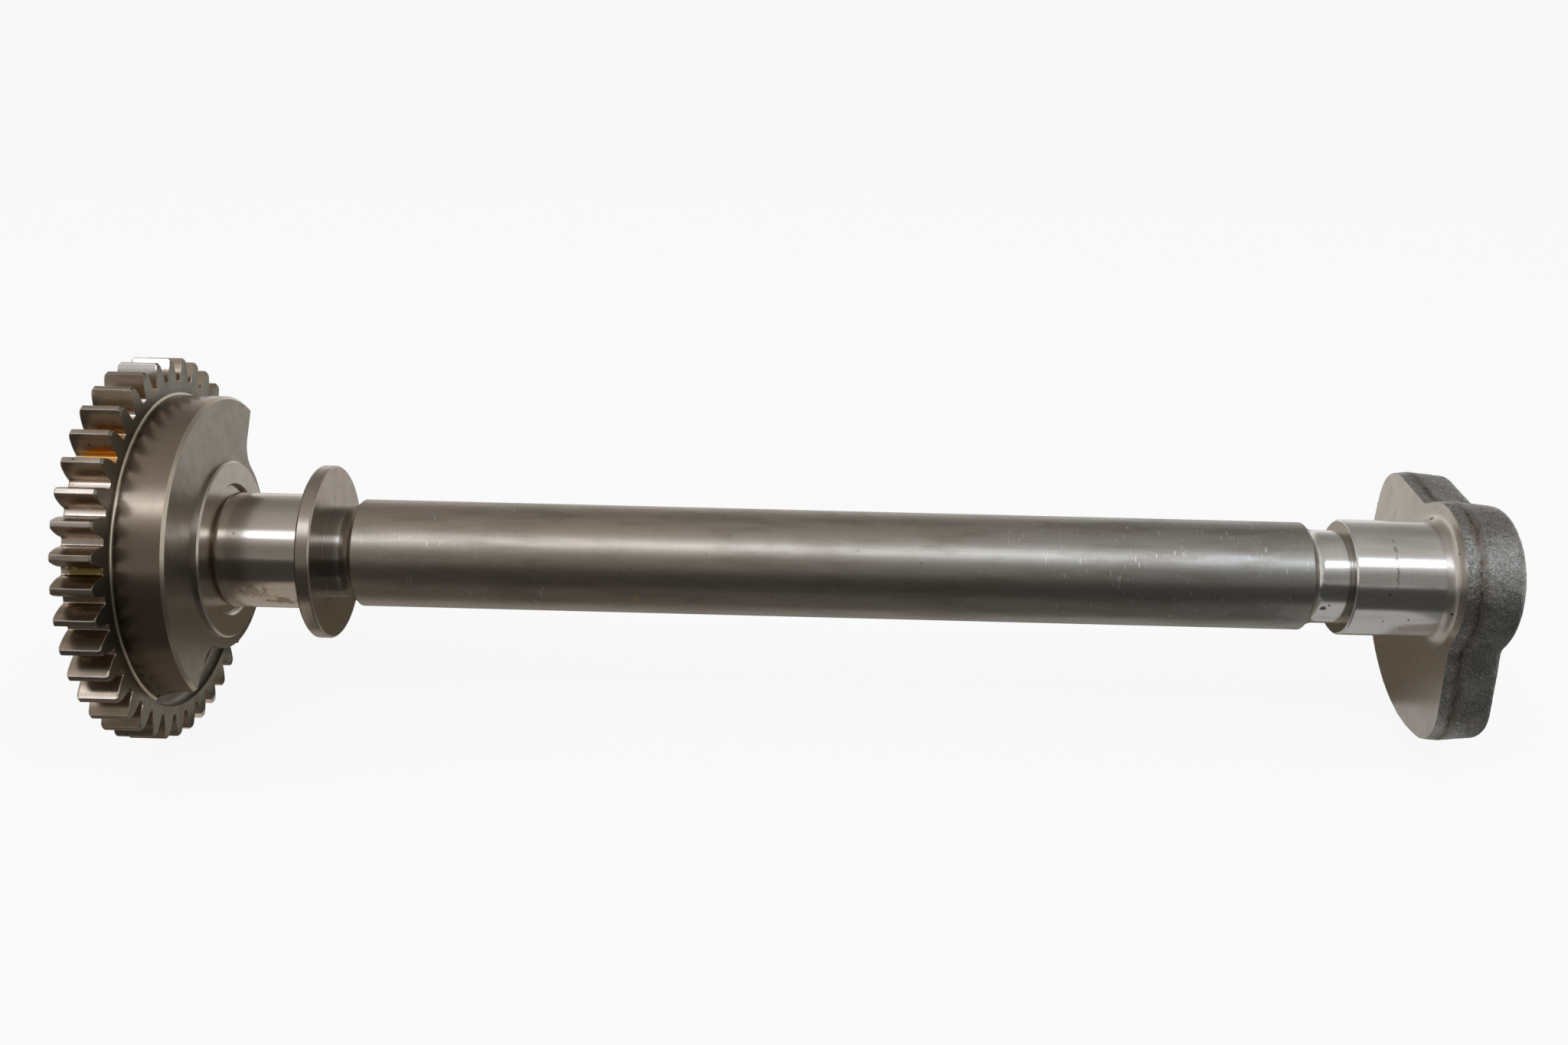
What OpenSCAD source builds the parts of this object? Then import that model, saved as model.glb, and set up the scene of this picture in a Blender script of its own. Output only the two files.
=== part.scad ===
// Engine balance shaft: a spur gear, two opposed counterweights and two plain bearing
// journals turned, milled and forged in one piece of steel. Millimetres.
// The shaft lies along X with the gear on the left. X = 0 is the middle of the front journal.
// Everything is built along Z and turned onto X at the end.

/* [Gear] */
// Module of the teeth
gear_module = 2.5; // [2.2:0.1:2.8]
// Number of teeth
gear_teeth = 40; // [36:2:44]
// Pressure angle in degrees
pressure_angle = 20; // [17.5:0.5:22.5]
// Height of the teeth over the pitch circle, in modules
addendum = 1.2; // [1:0.05:1.25]
// Depth of the teeth under the pitch circle, in modules
dedendum = 1.44; // [1.35:0.01:1.5]
// Face width of the gear
gear_width = 10.7; // [9:0.1:14]
// Chamfer on the tooth ends
tooth_chamfer = 0.6; // [0.2:0.1:1]
// Depth of the turned recess in the outer face
recess_depth = 1.2; // [0.4:0.1:2]
// Radius of the flat left around the lathe centre
recess_inner_r = 19; // [16:0.5:24]
// Rim left between the recess and the tooth roots
recess_rim = 5.4; // [3.4:0.2:9]

/* [Front counterweight] */
// Step from the tooth roots in to the weight's outside
weight_step = 3.7; // [3.6:0.1:6]
// Thickness in front of the gear
front_weight_w = 13.25; // [10:0.25:18]
// Radius of the hub that carries the thrust boss
front_hub_r = 27.7; // [26.5:0.1:30]
// Set-back of the point where the two flanks would meet
flank_apex = 3.2; // [0:0.1:6]
// Angle of each flank from the middle of the weight
front_flank_angle = 81; // [76:0.5:86]
// Radius between flank and hub
front_hub_fillet = 7.5; // [5:0.5:9]
// Rim left between the tooth roots and the pocket beside the weight
pocket_rim = 2.2; // [1.6:0.1:2.3]
// Depth of that pocket under the gear face
pocket_depth = 3; // [1.5:0.1:4]
// Round at the bottom of the pocket
pocket_fillet = 2.5; // [1:0.1:3]
// Chamfer on the outer edge of the weight
front_weight_chamfer = 0.8; // [0.3:0.1:1.5]
// Turned radius where the weight meets the gear
front_weight_fillet = 0.8; // [0.3:0.1:1.2]

/* [Front journal and thrust faces] */
// Diameter of both bearing journals
journal_d = 32; // [31:0.1:34]
// Distance between the two thrust faces
thrust_gap = 25; // [22:0.25:30]
// Diameter of the raised thrust boss on the hub
boss_d = 49.5; // [46:0.25:51]
// Height of that boss
boss_h = 1.35; // [0.6:0.05:2.5]
// Width of the grinding relief around the journal
relief_w = 2; // [1.2:0.1:3]
// Depth of the relief behind the boss face
relief_depth = 1.2; // [0.6:0.1:2]
// Depth of the undercut at the root of the front journal
undercut_depth = 0.3; // [0.1:0.05:0.5]
// Length of that undercut past the boss face
undercut_w = 1.2; // [0.6:0.1:2]
// Diameter of the thrust flange
flange_d = 48.2; // [44:0.2:54]
// Thickness of the thrust flange
flange_w = 4; // [3:0.1:6]
// Broken edges of the ground faces
edge_break = 0.5; // [0.2:0.1:0.8]

/* [Shaft] */
// Diameter of the long plain shaft
shaft_d = 29.8; // [28.5:0.1:30.6]
// Diameter of the necks at its ends
neck_d = 25.8; // [24:0.2:27]
// Length of the long plain shaft
shaft_length = 260.8; // [200:1:320]
// Length of the neck beside the thrust flange
front_neck = 7.6; // [6:0.1:12]
// Length of the neck beside the rear journal
rear_neck = 10.2; // [7:0.1:14]
// Radius from each neck up to the shaft
neck_radius = 5; // [3:0.5:6]
// Chamfer on the shaft ends
shaft_chamfer = 0.6; // [0.3:0.1:0.7]

/* [Rear journal] */
// Ground length of the rear journal
rear_journal_l = 23.8; // [18:0.2:30]
// Polished radius from the journal to the rear weight
journal_radius = 3; // [1.5:0.1:4]

/* [Rear counterweight] */
// Outside radius at the forging's parting line
rear_weight_r = 46; // [42:0.1:48]
// Radius of the hub at the parting line
rear_hub_r = 22; // [20.5:0.1:24]
// Distance of each flank from the shaft axis
rear_flank_dist = 16.5; // [14:0.1:18]
// Angle of each flank from the middle of the weight
rear_flank_angle = 49.5; // [44:0.5:56]
// Radius of the two outer corners
ear_radius = 12; // [8:0.5:13]
// Radius between flank and hub
rear_hub_fillet = 4.5; // [3:0.5:7]
// Machined face to parting line
parting_depth = 3.7; // [2:0.1:6]
// Thickness of the weight
rear_weight_w = 15.7; // [12:0.1:22]
// How far the hub stands proud of the weight's back
hub_proud = 1.1; // [0.4:0.1:2]
// Draft of the forged sides in degrees
forging_draft = 5.5; // [3:0.5:8]
// Radius of the forged back edges
back_round = 2.8; // [1.5:0.1:3.5]

/* [Balance and centres] */
// Angle of the rear weight from straight down, with the front weight opposite
weight_phase = 42.5; // [30:0.5:60]
// Bore of the lathe centres
centre_bore_d = 5; // [3:0.5:6.5]
// Mouth of the lathe centres
centre_mouth_d = 10.6; // [8:0.2:13]
// Depth of the lathe centres' bores
centre_depth = 11; // [7:0.5:14]

/* [Hidden] */
$fn = 96;
cut = 0.5;
// Rounds reach this far into the walls they run out on, so that every joint is a clean crossing
seat = 0.02;
// Stations along the shaft
boss_z = -thrust_gap / 2;
flange_z0 = thrust_gap / 2;
flange_z1 = flange_z0 + flange_w;
shaft_z0 = flange_z1 + front_neck;
shaft_z1 = shaft_z0 + shaft_length;
rear_journal_z = shaft_z1 + rear_neck;
rear_face_z = rear_journal_z + rear_journal_l + journal_radius;
parting_z = rear_face_z + parting_depth;
rear_back_z = rear_face_z + rear_weight_w;
rear_end_z = rear_back_z + hub_proud;
draft = tan(forging_draft);
// Centre of the rear weight's outer corner, x along the flank
ear_y = rear_flank_dist - ear_radius;
ear_c = [sqrt(pow(rear_weight_r - ear_radius, 2) - ear_y * ear_y), ear_y];
weight_z1 = boss_z - boss_h;
gear_z1 = weight_z1 - front_weight_w;
gear_z0 = gear_z1 - gear_width;
pocket_z = gear_z1 - pocket_depth;
// Radii
journal_r = journal_d / 2;
shaft_r = shaft_d / 2;
neck_r = neck_d / 2;
boss_r = boss_d / 2;
flange_r = flange_d / 2;
relief_r = journal_r + relief_w;
// Gear
pitch_r = gear_module * gear_teeth / 2;
base_r = pitch_r * cos(pressure_angle);
tip_r = pitch_r + addendum * gear_module;
root_r = pitch_r - dedendum * gear_module;
recess_outer_r = root_r - recess_rim;
front_weight_r = root_r - weight_step;
pocket_r = root_r - pocket_rim;
flank_steps = 5;
root_round = 0.16 * gear_module;
// Scoop that runs each flank of the front weight down to the pocket floor
scoop_r = weight_z1 - pocket_z;
wide = 70;

// Involute function, in degrees
function inv(a) = tan(a) * 180 / PI - a;
// Half of the angle that a tooth fills at radius r
function half_tooth(r) = 90 / gear_teeth + inv(pressure_angle)
    - (r > base_r ? inv(acos(base_r / r)) : 0);
function polar(r, a) = [r * cos(a), r * sin(a)];
// One side of a tooth from root to tip
function tooth_side() = concat(
    [polar(root_r, half_tooth(base_r) + root_round / root_r * 180 / PI)],
    [polar(root_r + 0.3 * root_round, half_tooth(base_r) + 0.3 * root_round / root_r * 180 / PI)],
    [polar(root_r + root_round, half_tooth(base_r))],
    [
        for (i = [0 : flank_steps])
            let (r = base_r + (tip_r - base_r) * pow(i / flank_steps, 1.3))
                polar(r, half_tooth(r))
    ]
);
function turned(p, a) = [p[0] * cos(a) - p[1] * sin(a), p[0] * sin(a) + p[1] * cos(a)];
function tooth() = let (s = tooth_side(), n = len(s)) concat(
    [for (i = [0 : n - 1]) [s[i][0], -s[i][1]]],
    [for (i = [n - 1 : -1 : 0]) s[i]]
);
// Teeth straddle the straight-down direction, so the shaft lies on two of them
function gear_outline() = [
    for (k = [0 : gear_teeth - 1]) for (p = tooth()) turned(p, (k + 0.5) * 360 / gear_teeth)
];

// Half profile of a plain length of shaft
module bar(z0, z1, r) {
    translate([0, z0])
        square([r, z1 - z0]);
}

// Half profile of a concave radius on a bar of radius r, up to height h on a face at z
module corner_radius(r, z, rad, h, dir) {
    run = sqrt(rad * rad - pow(rad - h, 2));
    difference() {
        translate([r - cut, dir > 0 ? z - run : z - cut])
            square([h + cut, run + cut]);
        translate([r + rad, z - dir * run])
            circle(r = rad + seat);
    }
}

// Triangle that breaks the edge of a bar of radius r at z, on its end side dir
module edge_cut(r, z, size, dir) {
    polygon([
        [r - size, z + dir * cut], [r - size, z], [r, z - dir * size],
        [r + cut, z - dir * size], [r + cut, z + dir * cut]
    ]);
}

// Everything that is turned about the axis, from the gear web to the rear weight
module turned_profile() {
    difference() {
        union() {
            bar(pocket_z - cut, weight_z1, front_weight_r);
            corner_radius(front_weight_r, gear_z1, front_weight_fillet, front_weight_fillet, -1);
            bar(weight_z1 - cut, boss_z, boss_r);
            bar(boss_z - cut, shaft_z0 + cut, neck_r);
            bar(boss_z - cut, flange_z0 + cut, journal_r);
            bar(flange_z0, flange_z1, flange_r);
            bar(shaft_z0, shaft_z1, shaft_r);
            bar(shaft_z1 - cut, rear_face_z, neck_r);
            bar(rear_journal_z, rear_face_z + cut, journal_r);
            corner_radius(neck_r, shaft_z0, neck_radius, shaft_r - shaft_chamfer - neck_r, 1);
            corner_radius(neck_r, shaft_z1, neck_radius, shaft_r - shaft_chamfer - neck_r, -1);
            corner_radius(journal_r, rear_face_z, journal_radius, journal_radius, 1);
        }
        translate([journal_r - undercut_depth, boss_z - relief_depth])
            square([relief_w + undercut_depth, relief_depth + cut]);
        translate([journal_r - undercut_depth, boss_z - cut])
            square([undercut_depth + cut, cut + undercut_w]);
        edge_cut(front_weight_r, weight_z1, front_weight_chamfer, 1);
        edge_cut(boss_r, boss_z, edge_break, 1);
        edge_cut(flange_r, flange_z0, edge_break, -1);
        edge_cut(flange_r, flange_z1, edge_break, 1);
        edge_cut(shaft_r, shaft_z0, shaft_chamfer, -1);
        edge_cut(shaft_r, shaft_z1, shaft_chamfer, 1);
        edge_cut(journal_r, rear_journal_z, edge_break, -1);
    }
}

module turned_body() {
    rotate_extrude()
        turned_profile();
}

// Toothed disc with chamfered tooth ends and a recessed outer face
module gear_disc() {
    difference() {
        intersection() {
            translate([0, 0, gear_z0])
                linear_extrude(height = gear_width)
                    polygon(gear_outline());
            rotate_extrude()
                polygon([
                    [0, gear_z0], [tip_r - tooth_chamfer, gear_z0],
                    [tip_r + cut, gear_z0 + tooth_chamfer + cut],
                    [tip_r + cut, gear_z1 - tooth_chamfer - cut],
                    [tip_r - tooth_chamfer, gear_z1], [0, gear_z1]
                ]);
        }
        rotate_extrude()
            translate([recess_inner_r, gear_z0 - cut])
                square([recess_outer_r - recess_inner_r, recess_depth + cut]);
    }
}

// Concave corner between a flank at angle a and distance d from the axis and a hub of radius r
module flank_corner(a, d, r, rad) {
    c = [sqrt(pow(r + rad, 2) - pow(d + rad, 2)), d + rad];
    t = c * r / (r + rad);
    rotate([0, 0, a])
        difference() {
            polygon([[0.5 * t[0], 0.5 * t[1]], t, c, [c[0], d], [c[0], 0.4 * d]]);
            translate(c)
                circle(r = rad + seat);
        }
}

// What lies beyond one flank, which curves from the weight's face down to the pocket floor
module beyond_flank() {
    translate([-flank_apex, 0, 0])
        rotate([0, 0, front_flank_angle])
            rotate([90, 0, 90])
                translate([0, 0, -wide])
                    linear_extrude(height = 2 * wide)
                        union() {
                            translate([scoop_r, pocket_z + scoop_r - seat])
                                circle(r = scoop_r);
                            translate([scoop_r, pocket_z - 1])
                                square([wide, scoop_r + 1 + cut]);
                        }
}

// Half profile of the pocket milled beside the front weight, with a round at its floor
module pocket_profile() {
    difference() {
        bar(pocket_z, weight_z1 + cut, pocket_r);
        difference() {
            translate([pocket_r - pocket_fillet, pocket_z - cut])
                square([pocket_fillet + cut, pocket_fillet + cut]);
            translate([pocket_r - pocket_fillet, pocket_z + pocket_fillet])
                circle(r = pocket_fillet + seat);
        }
    }
}

// All that is milled away from the turned disc to leave the front weight and its hub
module milled_side() {
    d = flank_apex * sin(front_flank_angle);
    rotate([0, 0, weight_phase + 180])
        intersection() {
            difference() {
                rotate_extrude()
                    pocket_profile();
                translate([0, 0, pocket_z - 1])
                    cylinder(h = scoop_r + 2, r = front_hub_r);
                translate([0, 0, pocket_z - 1])
                    linear_extrude(height = scoop_r + 2)
                        union() {
                            flank_corner(front_flank_angle, d, front_hub_r, front_hub_fillet);
                            mirror([0, 1, 0])
                                flank_corner(front_flank_angle, d, front_hub_r, front_hub_fillet);
                        }
            }
            union() {
                beyond_flank();
                mirror([0, 1, 0])
                    beyond_flank();
            }
        }
}

// Profile of a drafted wall of the forging, r from its centre at the parting line
module drafted_profile(r, inner, end_z) {
    z1 = end_z - back_round;
    r1 = r - (z1 - parting_z) * draft;
    polygon([
        [inner, rear_face_z - cut], [r - (parting_depth + cut) * draft, rear_face_z - cut],
        [r, parting_z], [r1, z1], [inner, z1]
    ]);
    translate([inner, z1 - cut])
        square([r1 - back_round - inner, back_round + cut]);
    intersection() {
        translate([r1 - back_round, z1])
            circle(r = back_round + seat);
        translate([inner, z1 - back_round])
            square([r1 + cut - inner, 2 * back_round]);
    }
}

// Profile of the space in a concave corner of the forging, which opens as the walls draw in
module hollow_profile(r, end_z) {
    z1 = end_z - back_round;
    r1 = r + (z1 - parting_z) * draft;
    polygon([
        [0, rear_face_z - 2 * cut], [r + (parting_depth + 2 * cut) * draft, rear_face_z - 2 * cut],
        [r, parting_z], [r1, z1], [0, z1]
    ]);
    difference() {
        translate([0, z1])
            square([r1 + back_round, back_round + cut]);
        translate([r1 + back_round, z1])
            circle(r = back_round + seat);
    }
}

// What an outer corner of the rear weight loses to its round
module ear_waste() {
    k = 2.5 * ear_radius;
    rotate([0, 0, rear_flank_angle])
        difference() {
            translate([0, 0, rear_face_z - 2 * cut])
                linear_extrude(height = rear_weight_w + 4 * cut)
                    polygon([ear_c, ear_c + [0, k], ear_c + [k, k], ear_c + k * ear_c / norm(ear_c)]);
            translate(ear_c)
                rotate_extrude()
                    drafted_profile(ear_radius + seat, 0, rear_back_z);
        }
}

// One half of the rear weight beside its middle plane, with flank and outer corner
module half_weight() {
    difference() {
        intersection() {
            rotate_extrude()
                drafted_profile(rear_weight_r, 0, rear_back_z);
            rotate([0, 0, rear_flank_angle])
                rotate([90, 0, 90])
                    linear_extrude(height = 2 * wide, center = true)
                        drafted_profile(rear_flank_dist, -wide, rear_back_z);
            translate([-0.55 * rear_hub_r, -1, rear_face_z - 2])
                cube([2 * wide, wide, rear_weight_w + 4]);
        }
        ear_waste();
    }
}

// Material in the corner between hub and flank of the rear weight
module hub_corner() {
    y = rear_flank_dist + rear_hub_fillet;
    r = rear_hub_r + rear_hub_fillet;
    c = [sqrt(r * r - y * y), y];
    t = c * rear_hub_r / r;
    rotate([0, 0, rear_flank_angle])
        difference() {
            translate([0, 0, rear_face_z - cut])
                linear_extrude(height = rear_weight_w + cut)
                    polygon([t * 0.6, c, [c[0], rear_flank_dist - 6]]);
            translate(c)
                rotate_extrude()
                    hollow_profile(rear_hub_fillet + seat, rear_back_z);
        }
}

// Forged weight, faced off on the side of the journal
module rear_weight() {
    difference() {
        union() {
            rotate([0, 0, weight_phase]) {
                half_weight();
                mirror([0, 1, 0])
                    half_weight();
                hub_corner();
                mirror([0, 1, 0])
                    hub_corner();
            }
            rotate_extrude()
                drafted_profile(rear_hub_r, 0, rear_end_z);
        }
        translate([0, 0, rear_face_z - 5])
            cylinder(h = 5, r = wide);
    }
}

// Lathe centre in an end face at the origin, cut towards +z
module lathe_centre() {
    cone_h = (centre_mouth_d - centre_bore_d) / 2 / tan(30);
    translate([0, 0, -cut])
        cylinder(h = centre_depth + cut, d = centre_bore_d);
    translate([0, 0, -cut])
        cylinder(h = cut, d = centre_mouth_d);
    cylinder(h = cone_h, d1 = centre_mouth_d, d2 = centre_bore_d);
}

module balance_shaft() {
    color("#8b857e")
        rotate([0, 90, 0])
            difference() {
                union() {
                    gear_disc();
                    turned_body();
                    rear_weight();
                }
                milled_side();
                translate([0, 0, gear_z0])
                    lathe_centre();
                translate([0, 0, rear_end_z])
                    mirror([0, 0, 1])
                        lathe_centre();
            }
}

balance_shaft();
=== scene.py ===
"""Engine balance shaft: gear end, turned shaft and forged rear weight, dressed as worn steel."""

import logging
import math
from dataclasses import dataclass
from enum import Enum
from typing import Callable, Self, Sequence

import bpy
from mathutils import Matrix, Vector


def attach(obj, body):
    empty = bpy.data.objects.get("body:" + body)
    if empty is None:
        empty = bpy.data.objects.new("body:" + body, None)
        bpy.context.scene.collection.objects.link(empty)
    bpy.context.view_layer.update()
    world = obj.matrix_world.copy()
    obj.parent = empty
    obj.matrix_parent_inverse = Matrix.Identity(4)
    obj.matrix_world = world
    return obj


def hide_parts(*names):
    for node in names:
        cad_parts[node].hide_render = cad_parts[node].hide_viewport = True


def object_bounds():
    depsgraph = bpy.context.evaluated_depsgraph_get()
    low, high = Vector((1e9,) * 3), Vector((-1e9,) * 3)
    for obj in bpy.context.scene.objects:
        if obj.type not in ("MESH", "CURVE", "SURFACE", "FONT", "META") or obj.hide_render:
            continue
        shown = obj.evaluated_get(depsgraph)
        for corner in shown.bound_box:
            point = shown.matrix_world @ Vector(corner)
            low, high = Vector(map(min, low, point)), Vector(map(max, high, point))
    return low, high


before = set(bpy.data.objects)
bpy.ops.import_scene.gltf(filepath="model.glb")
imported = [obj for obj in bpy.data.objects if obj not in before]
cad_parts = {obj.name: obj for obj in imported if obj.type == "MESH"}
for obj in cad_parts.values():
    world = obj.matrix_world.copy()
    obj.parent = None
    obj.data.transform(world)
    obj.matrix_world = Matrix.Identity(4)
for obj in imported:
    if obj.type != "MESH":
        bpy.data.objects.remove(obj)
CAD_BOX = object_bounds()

LOG = logging.getLogger("balance_shaft")
Point = tuple[float, float]
Triple = tuple[float, float, float]
Piece = bpy.types.Object
Socket = bpy.types.NodeSocket

MM = 0.001
# Turn of the front weight's middle line from the top towards the front, in degrees
FRONT_PHASE = 42.5
# Radius of the front journal's root, and stations of the rear weight's face and parting line, in millimetres
JOURNAL_ROOT_R = 15.7
REAR_FACE_X = 321.9
PARTING_X = 325.6
# How far a face may lie from a station or a radius and still count as on it, in millimetres
SLACK = 0.05
# Part of the normal along x from which a face looks mostly, or squarely, along the shaft
LEANING = 0.6
SQUARE = 0.9


class Zone(Enum):
    """Finished zones of the steel, each with its own material."""

    SHAFT = "tumbled_shaft"
    JOURNAL = "ground_journal"
    NECK = "polished_neck"
    FLANGE = "turned_flange"
    GROUND_FACE = "ground_face"
    WEIGHT_RIM = "turned_weight_rim"
    WEIGHT_FACE = "faced_weight"
    MILLED = "milled_pocket"
    # Paler fillet and chamfer of the front weight, a painted highlight
    BRIGHT_EDGE = "bright_edge"
    GEAR_FACE = "gear_face"
    TOOTH = "gear_tooth"
    FORGED = "forged_skin"
    REAR_FACE = "faced_rear_weight"


def arc(centre: Point, radius: float, start: float, end: float, steps: int) -> list[Point]:
    """Points on an arc, in the plane of its centre.

    Args:
        centre: Centre of the arc.
        radius: Radius of the arc.
        start: First angle in degrees.
        end: Last angle in degrees.
        steps: Number of stretches between the points.

    Returns:
        The points from start to end.
    """
    turns = [math.radians(start + (end - start) * i / steps) for i in range(steps + 1)]
    return [(centre[0] + radius * math.cos(t), centre[1] + radius * math.sin(t)) for t in turns]


def heading(point: Point) -> float:
    """Angle of a point about the origin, in degrees."""
    return math.degrees(math.atan2(point[1], point[0]))


class Bench:
    """Hand tools of the modeller, each a few steps of Blender's own operators."""

    @staticmethod
    def clear() -> None:
        """Leaves edit mode and deselects everything."""
        if bpy.context.object is not None and bpy.context.object.mode != "OBJECT":
            bpy.ops.object.mode_set(mode="OBJECT")
        bpy.ops.object.select_all(action="DESELECT")

    @staticmethod
    def activate(piece: Piece) -> None:
        """Makes a piece the only selected one, in object mode.

        Args:
            piece: The piece to work on.
        """
        Bench.clear()
        piece.select_set(True)
        bpy.context.view_layer.objects.active = piece

    @staticmethod
    def edit(piece: Piece) -> None:
        """Enters edit mode with the whole piece selected.

        Args:
            piece: The piece to work on.
        """
        Bench.activate(piece)
        bpy.ops.object.mode_set(mode="EDIT")
        bpy.ops.mesh.select_all(action="SELECT")

    @staticmethod
    def pick(piece: Piece, kind: str, test: Callable[[bpy.types.bpy_struct], bool]) -> None:
        """Enters edit mode with only those vertices, edges or faces selected that pass a test.

        Args:
            piece: The piece to work on.
            kind: VERT, EDGE or FACE.
            test: Says whether a part of the mesh is selected.
        """
        Bench.activate(piece)
        bpy.ops.object.mode_set(mode="EDIT")
        bpy.ops.mesh.select_mode(type=kind)
        bpy.ops.mesh.select_all(action="DESELECT")
        bpy.ops.object.mode_set(mode="OBJECT")
        parts = {"VERT": piece.data.vertices, "EDGE": piece.data.edges, "FACE": piece.data.polygons}
        for part in parts[kind]:
            part.select = test(part)
        bpy.ops.object.mode_set(mode="EDIT")

    @staticmethod
    def extrude(run: Vector) -> None:
        """Extrudes what is selected by a run in millimetres."""
        bpy.ops.mesh.extrude_region_move(TRANSFORM_OT_translate={"value": run * MM})

    @staticmethod
    def draw(name: str, points: Sequence[Vector], closed: bool) -> Piece:
        """Draws a chain of edges, point by point, from a plane shrunk to one vertex.

        Args:
            name: Name of the new piece.
            points: Places along the chain, in millimetres.
            closed: Whether the chain is closed and filled with a face.

        Returns:
            The piece, in edit mode with the whole chain selected.
        """
        Bench.clear()
        bpy.ops.mesh.primitive_plane_add(size=MM, location=(0, 0, 0))
        piece = bpy.context.object
        piece.name = name
        bpy.ops.object.mode_set(mode="EDIT")
        bpy.ops.mesh.select_mode(type="VERT")
        bpy.ops.mesh.select_all(action="SELECT")
        bpy.ops.mesh.merge(type="CENTER")
        bpy.ops.transform.translate(value=points[0] * MM)
        for last, point in zip(points, points[1:]):
            Bench.extrude(point - last)
        bpy.ops.mesh.select_all(action="SELECT")
        if closed:
            bpy.ops.mesh.edge_face_add()
        return piece

    @staticmethod
    def lathe(name: str, profile: Sequence[Point], steps: int) -> Piece:
        """Turns a profile about the shaft's axis.

        Args:
            name: Name of the new piece.
            profile: Points (x along the shaft, radius) that start and end on the axis.
            steps: Number of steps round the turn.

        Returns:
            A closed turned piece, in object mode.
        """
        piece = Bench.draw(name, [Vector((x, 0, r)) for x, r in profile], closed=False)
        bpy.ops.mesh.spin(steps=steps, angle=2 * math.pi, center=(0, 0, 0), axis=(1, 0, 0))
        Bench.close()
        return piece

    @staticmethod
    def close(merge: float = 0.002) -> None:
        """Merges doubles, turns the faces outwards and leaves edit mode.

        Args:
            merge: Distance in millimetres within which vertices become one.
        """
        bpy.ops.mesh.select_all(action="SELECT")
        bpy.ops.mesh.remove_doubles(threshold=merge * MM)
        bpy.ops.mesh.normals_make_consistent(inside=False)
        bpy.ops.object.mode_set(mode="OBJECT")

    @staticmethod
    def apply(piece: Piece, kind: str, **settings: object) -> None:
        """Adds a modifier and applies it.

        Args:
            piece: The piece to change.
            kind: Type of the modifier.
            **settings: Values for the modifier.
        """
        Bench.activate(piece)
        modifier = piece.modifiers.new(kind.lower(), kind)
        for key, value in settings.items():
            setattr(modifier, key, value)
        bpy.ops.object.modifier_apply(modifier=modifier.name)

    @staticmethod
    def combine(piece: Piece, tool: Piece, operation: str) -> None:
        """Joins, cuts or trims a piece with a tool, which is then thrown away."""
        Bench.apply(piece, "BOOLEAN", object=tool, operation=operation, solver="EXACT")
        bpy.data.objects.remove(tool)

    @staticmethod
    def mend(piece: Piece, merge: float) -> None:
        """Merges what a cut left too close together.

        Args:
            piece: The piece to mend.
            merge: Distance in millimetres within which edges and vertices become one.
        """
        Bench.edit(piece)
        bpy.ops.mesh.dissolve_degenerate(threshold=merge * MM)
        Bench.close(merge)

    @staticmethod
    def shade(piece: Piece, angle: float) -> None:
        """Shades a piece smooth, but for edges sharper than an angle in degrees."""
        Bench.activate(piece)
        bpy.ops.object.shade_smooth_by_angle(angle=math.radians(angle))

    @staticmethod
    def even(piece: Piece, angle: float) -> None:
        """Shades a piece smooth with its large faces kept flat, but for edges sharper than an angle."""
        Bench.shade(piece, angle)
        Bench.apply(piece, "WEIGHTED_NORMAL", keep_sharp=True, weight=70)

    @staticmethod
    def paint(piece: Piece, zones: Sequence[Zone], rule: Callable[[Vector, Vector], Zone]) -> None:
        """Gives each face the material of its zone.

        Args:
            piece: The piece to dress.
            zones: Zones that the piece has, in the order of its slots.
            rule: Finds the zone from a face's centre in millimetres and its normal.
        """
        piece.data.materials.clear()
        for zone in zones:
            piece.data.materials.append(bpy.data.materials[zone.value])
        for face in piece.data.polygons:
            face.material_index = zones.index(rule(face.center / MM, face.normal))


@dataclass(frozen=True)
class LatheCentre:
    """Centre hole that the shaft was turned on, in millimetres and degrees."""

    mouth_r: float = 5.3
    bore_r: float = 2.5
    depth: float = 11.0
    drill_tip: float = 1.0
    cone_angle: float = 30.0

    def profile(self, face: float, inward: float) -> list[Point]:
        """Half section from the axis out to the mouth.

        Args:
            face: Station of the face that the hole is in.
            inward: 1 where the hole runs along x and -1 where it runs against it.

        Returns:
            Points (x along the shaft, radius).
        """
        cone = (self.mouth_r - self.bore_r) / math.tan(math.radians(self.cone_angle))
        tip = self.depth + self.drill_tip
        section = ((tip, 0.0), (self.depth, self.bore_r), (cone, self.bore_r), (0.0, self.mouth_r))
        return [(face + inward * deep, radius) for deep, radius in section]


@dataclass
class Counterweight:
    """Plan of a weight that is symmetric about its middle line, in millimetres and degrees."""

    phase: float
    flank_angle: float
    flank_apex: float = 0.0

    def plan(self, u: float, v: float, x: float) -> Vector:
        """Places a point of the plan.

        Args:
            u: Distance along the weight's middle line, from the axis.
            v: Distance across it.
            x: Station along the shaft.

        Returns:
            The point in the shaft's frame.
        """
        turn = math.radians(self.phase)
        return Vector((x, -u * math.sin(turn) - v * math.cos(turn), u * math.cos(turn) - v * math.sin(turn)))

    def flank(self, along: float, out: float) -> Point:
        """Plan of a point beside one flank.

        Args:
            along: Distance along the flank, from the point where both flanks would meet.
            out: Distance from the flank's line, away from the weight.

        Returns:
            The point (u, v) of the plan.
        """
        turn = math.radians(self.flank_angle)
        return (-self.flank_apex + along * math.cos(turn) - out * math.sin(turn),
                along * math.sin(turn) + out * math.cos(turn))


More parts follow.
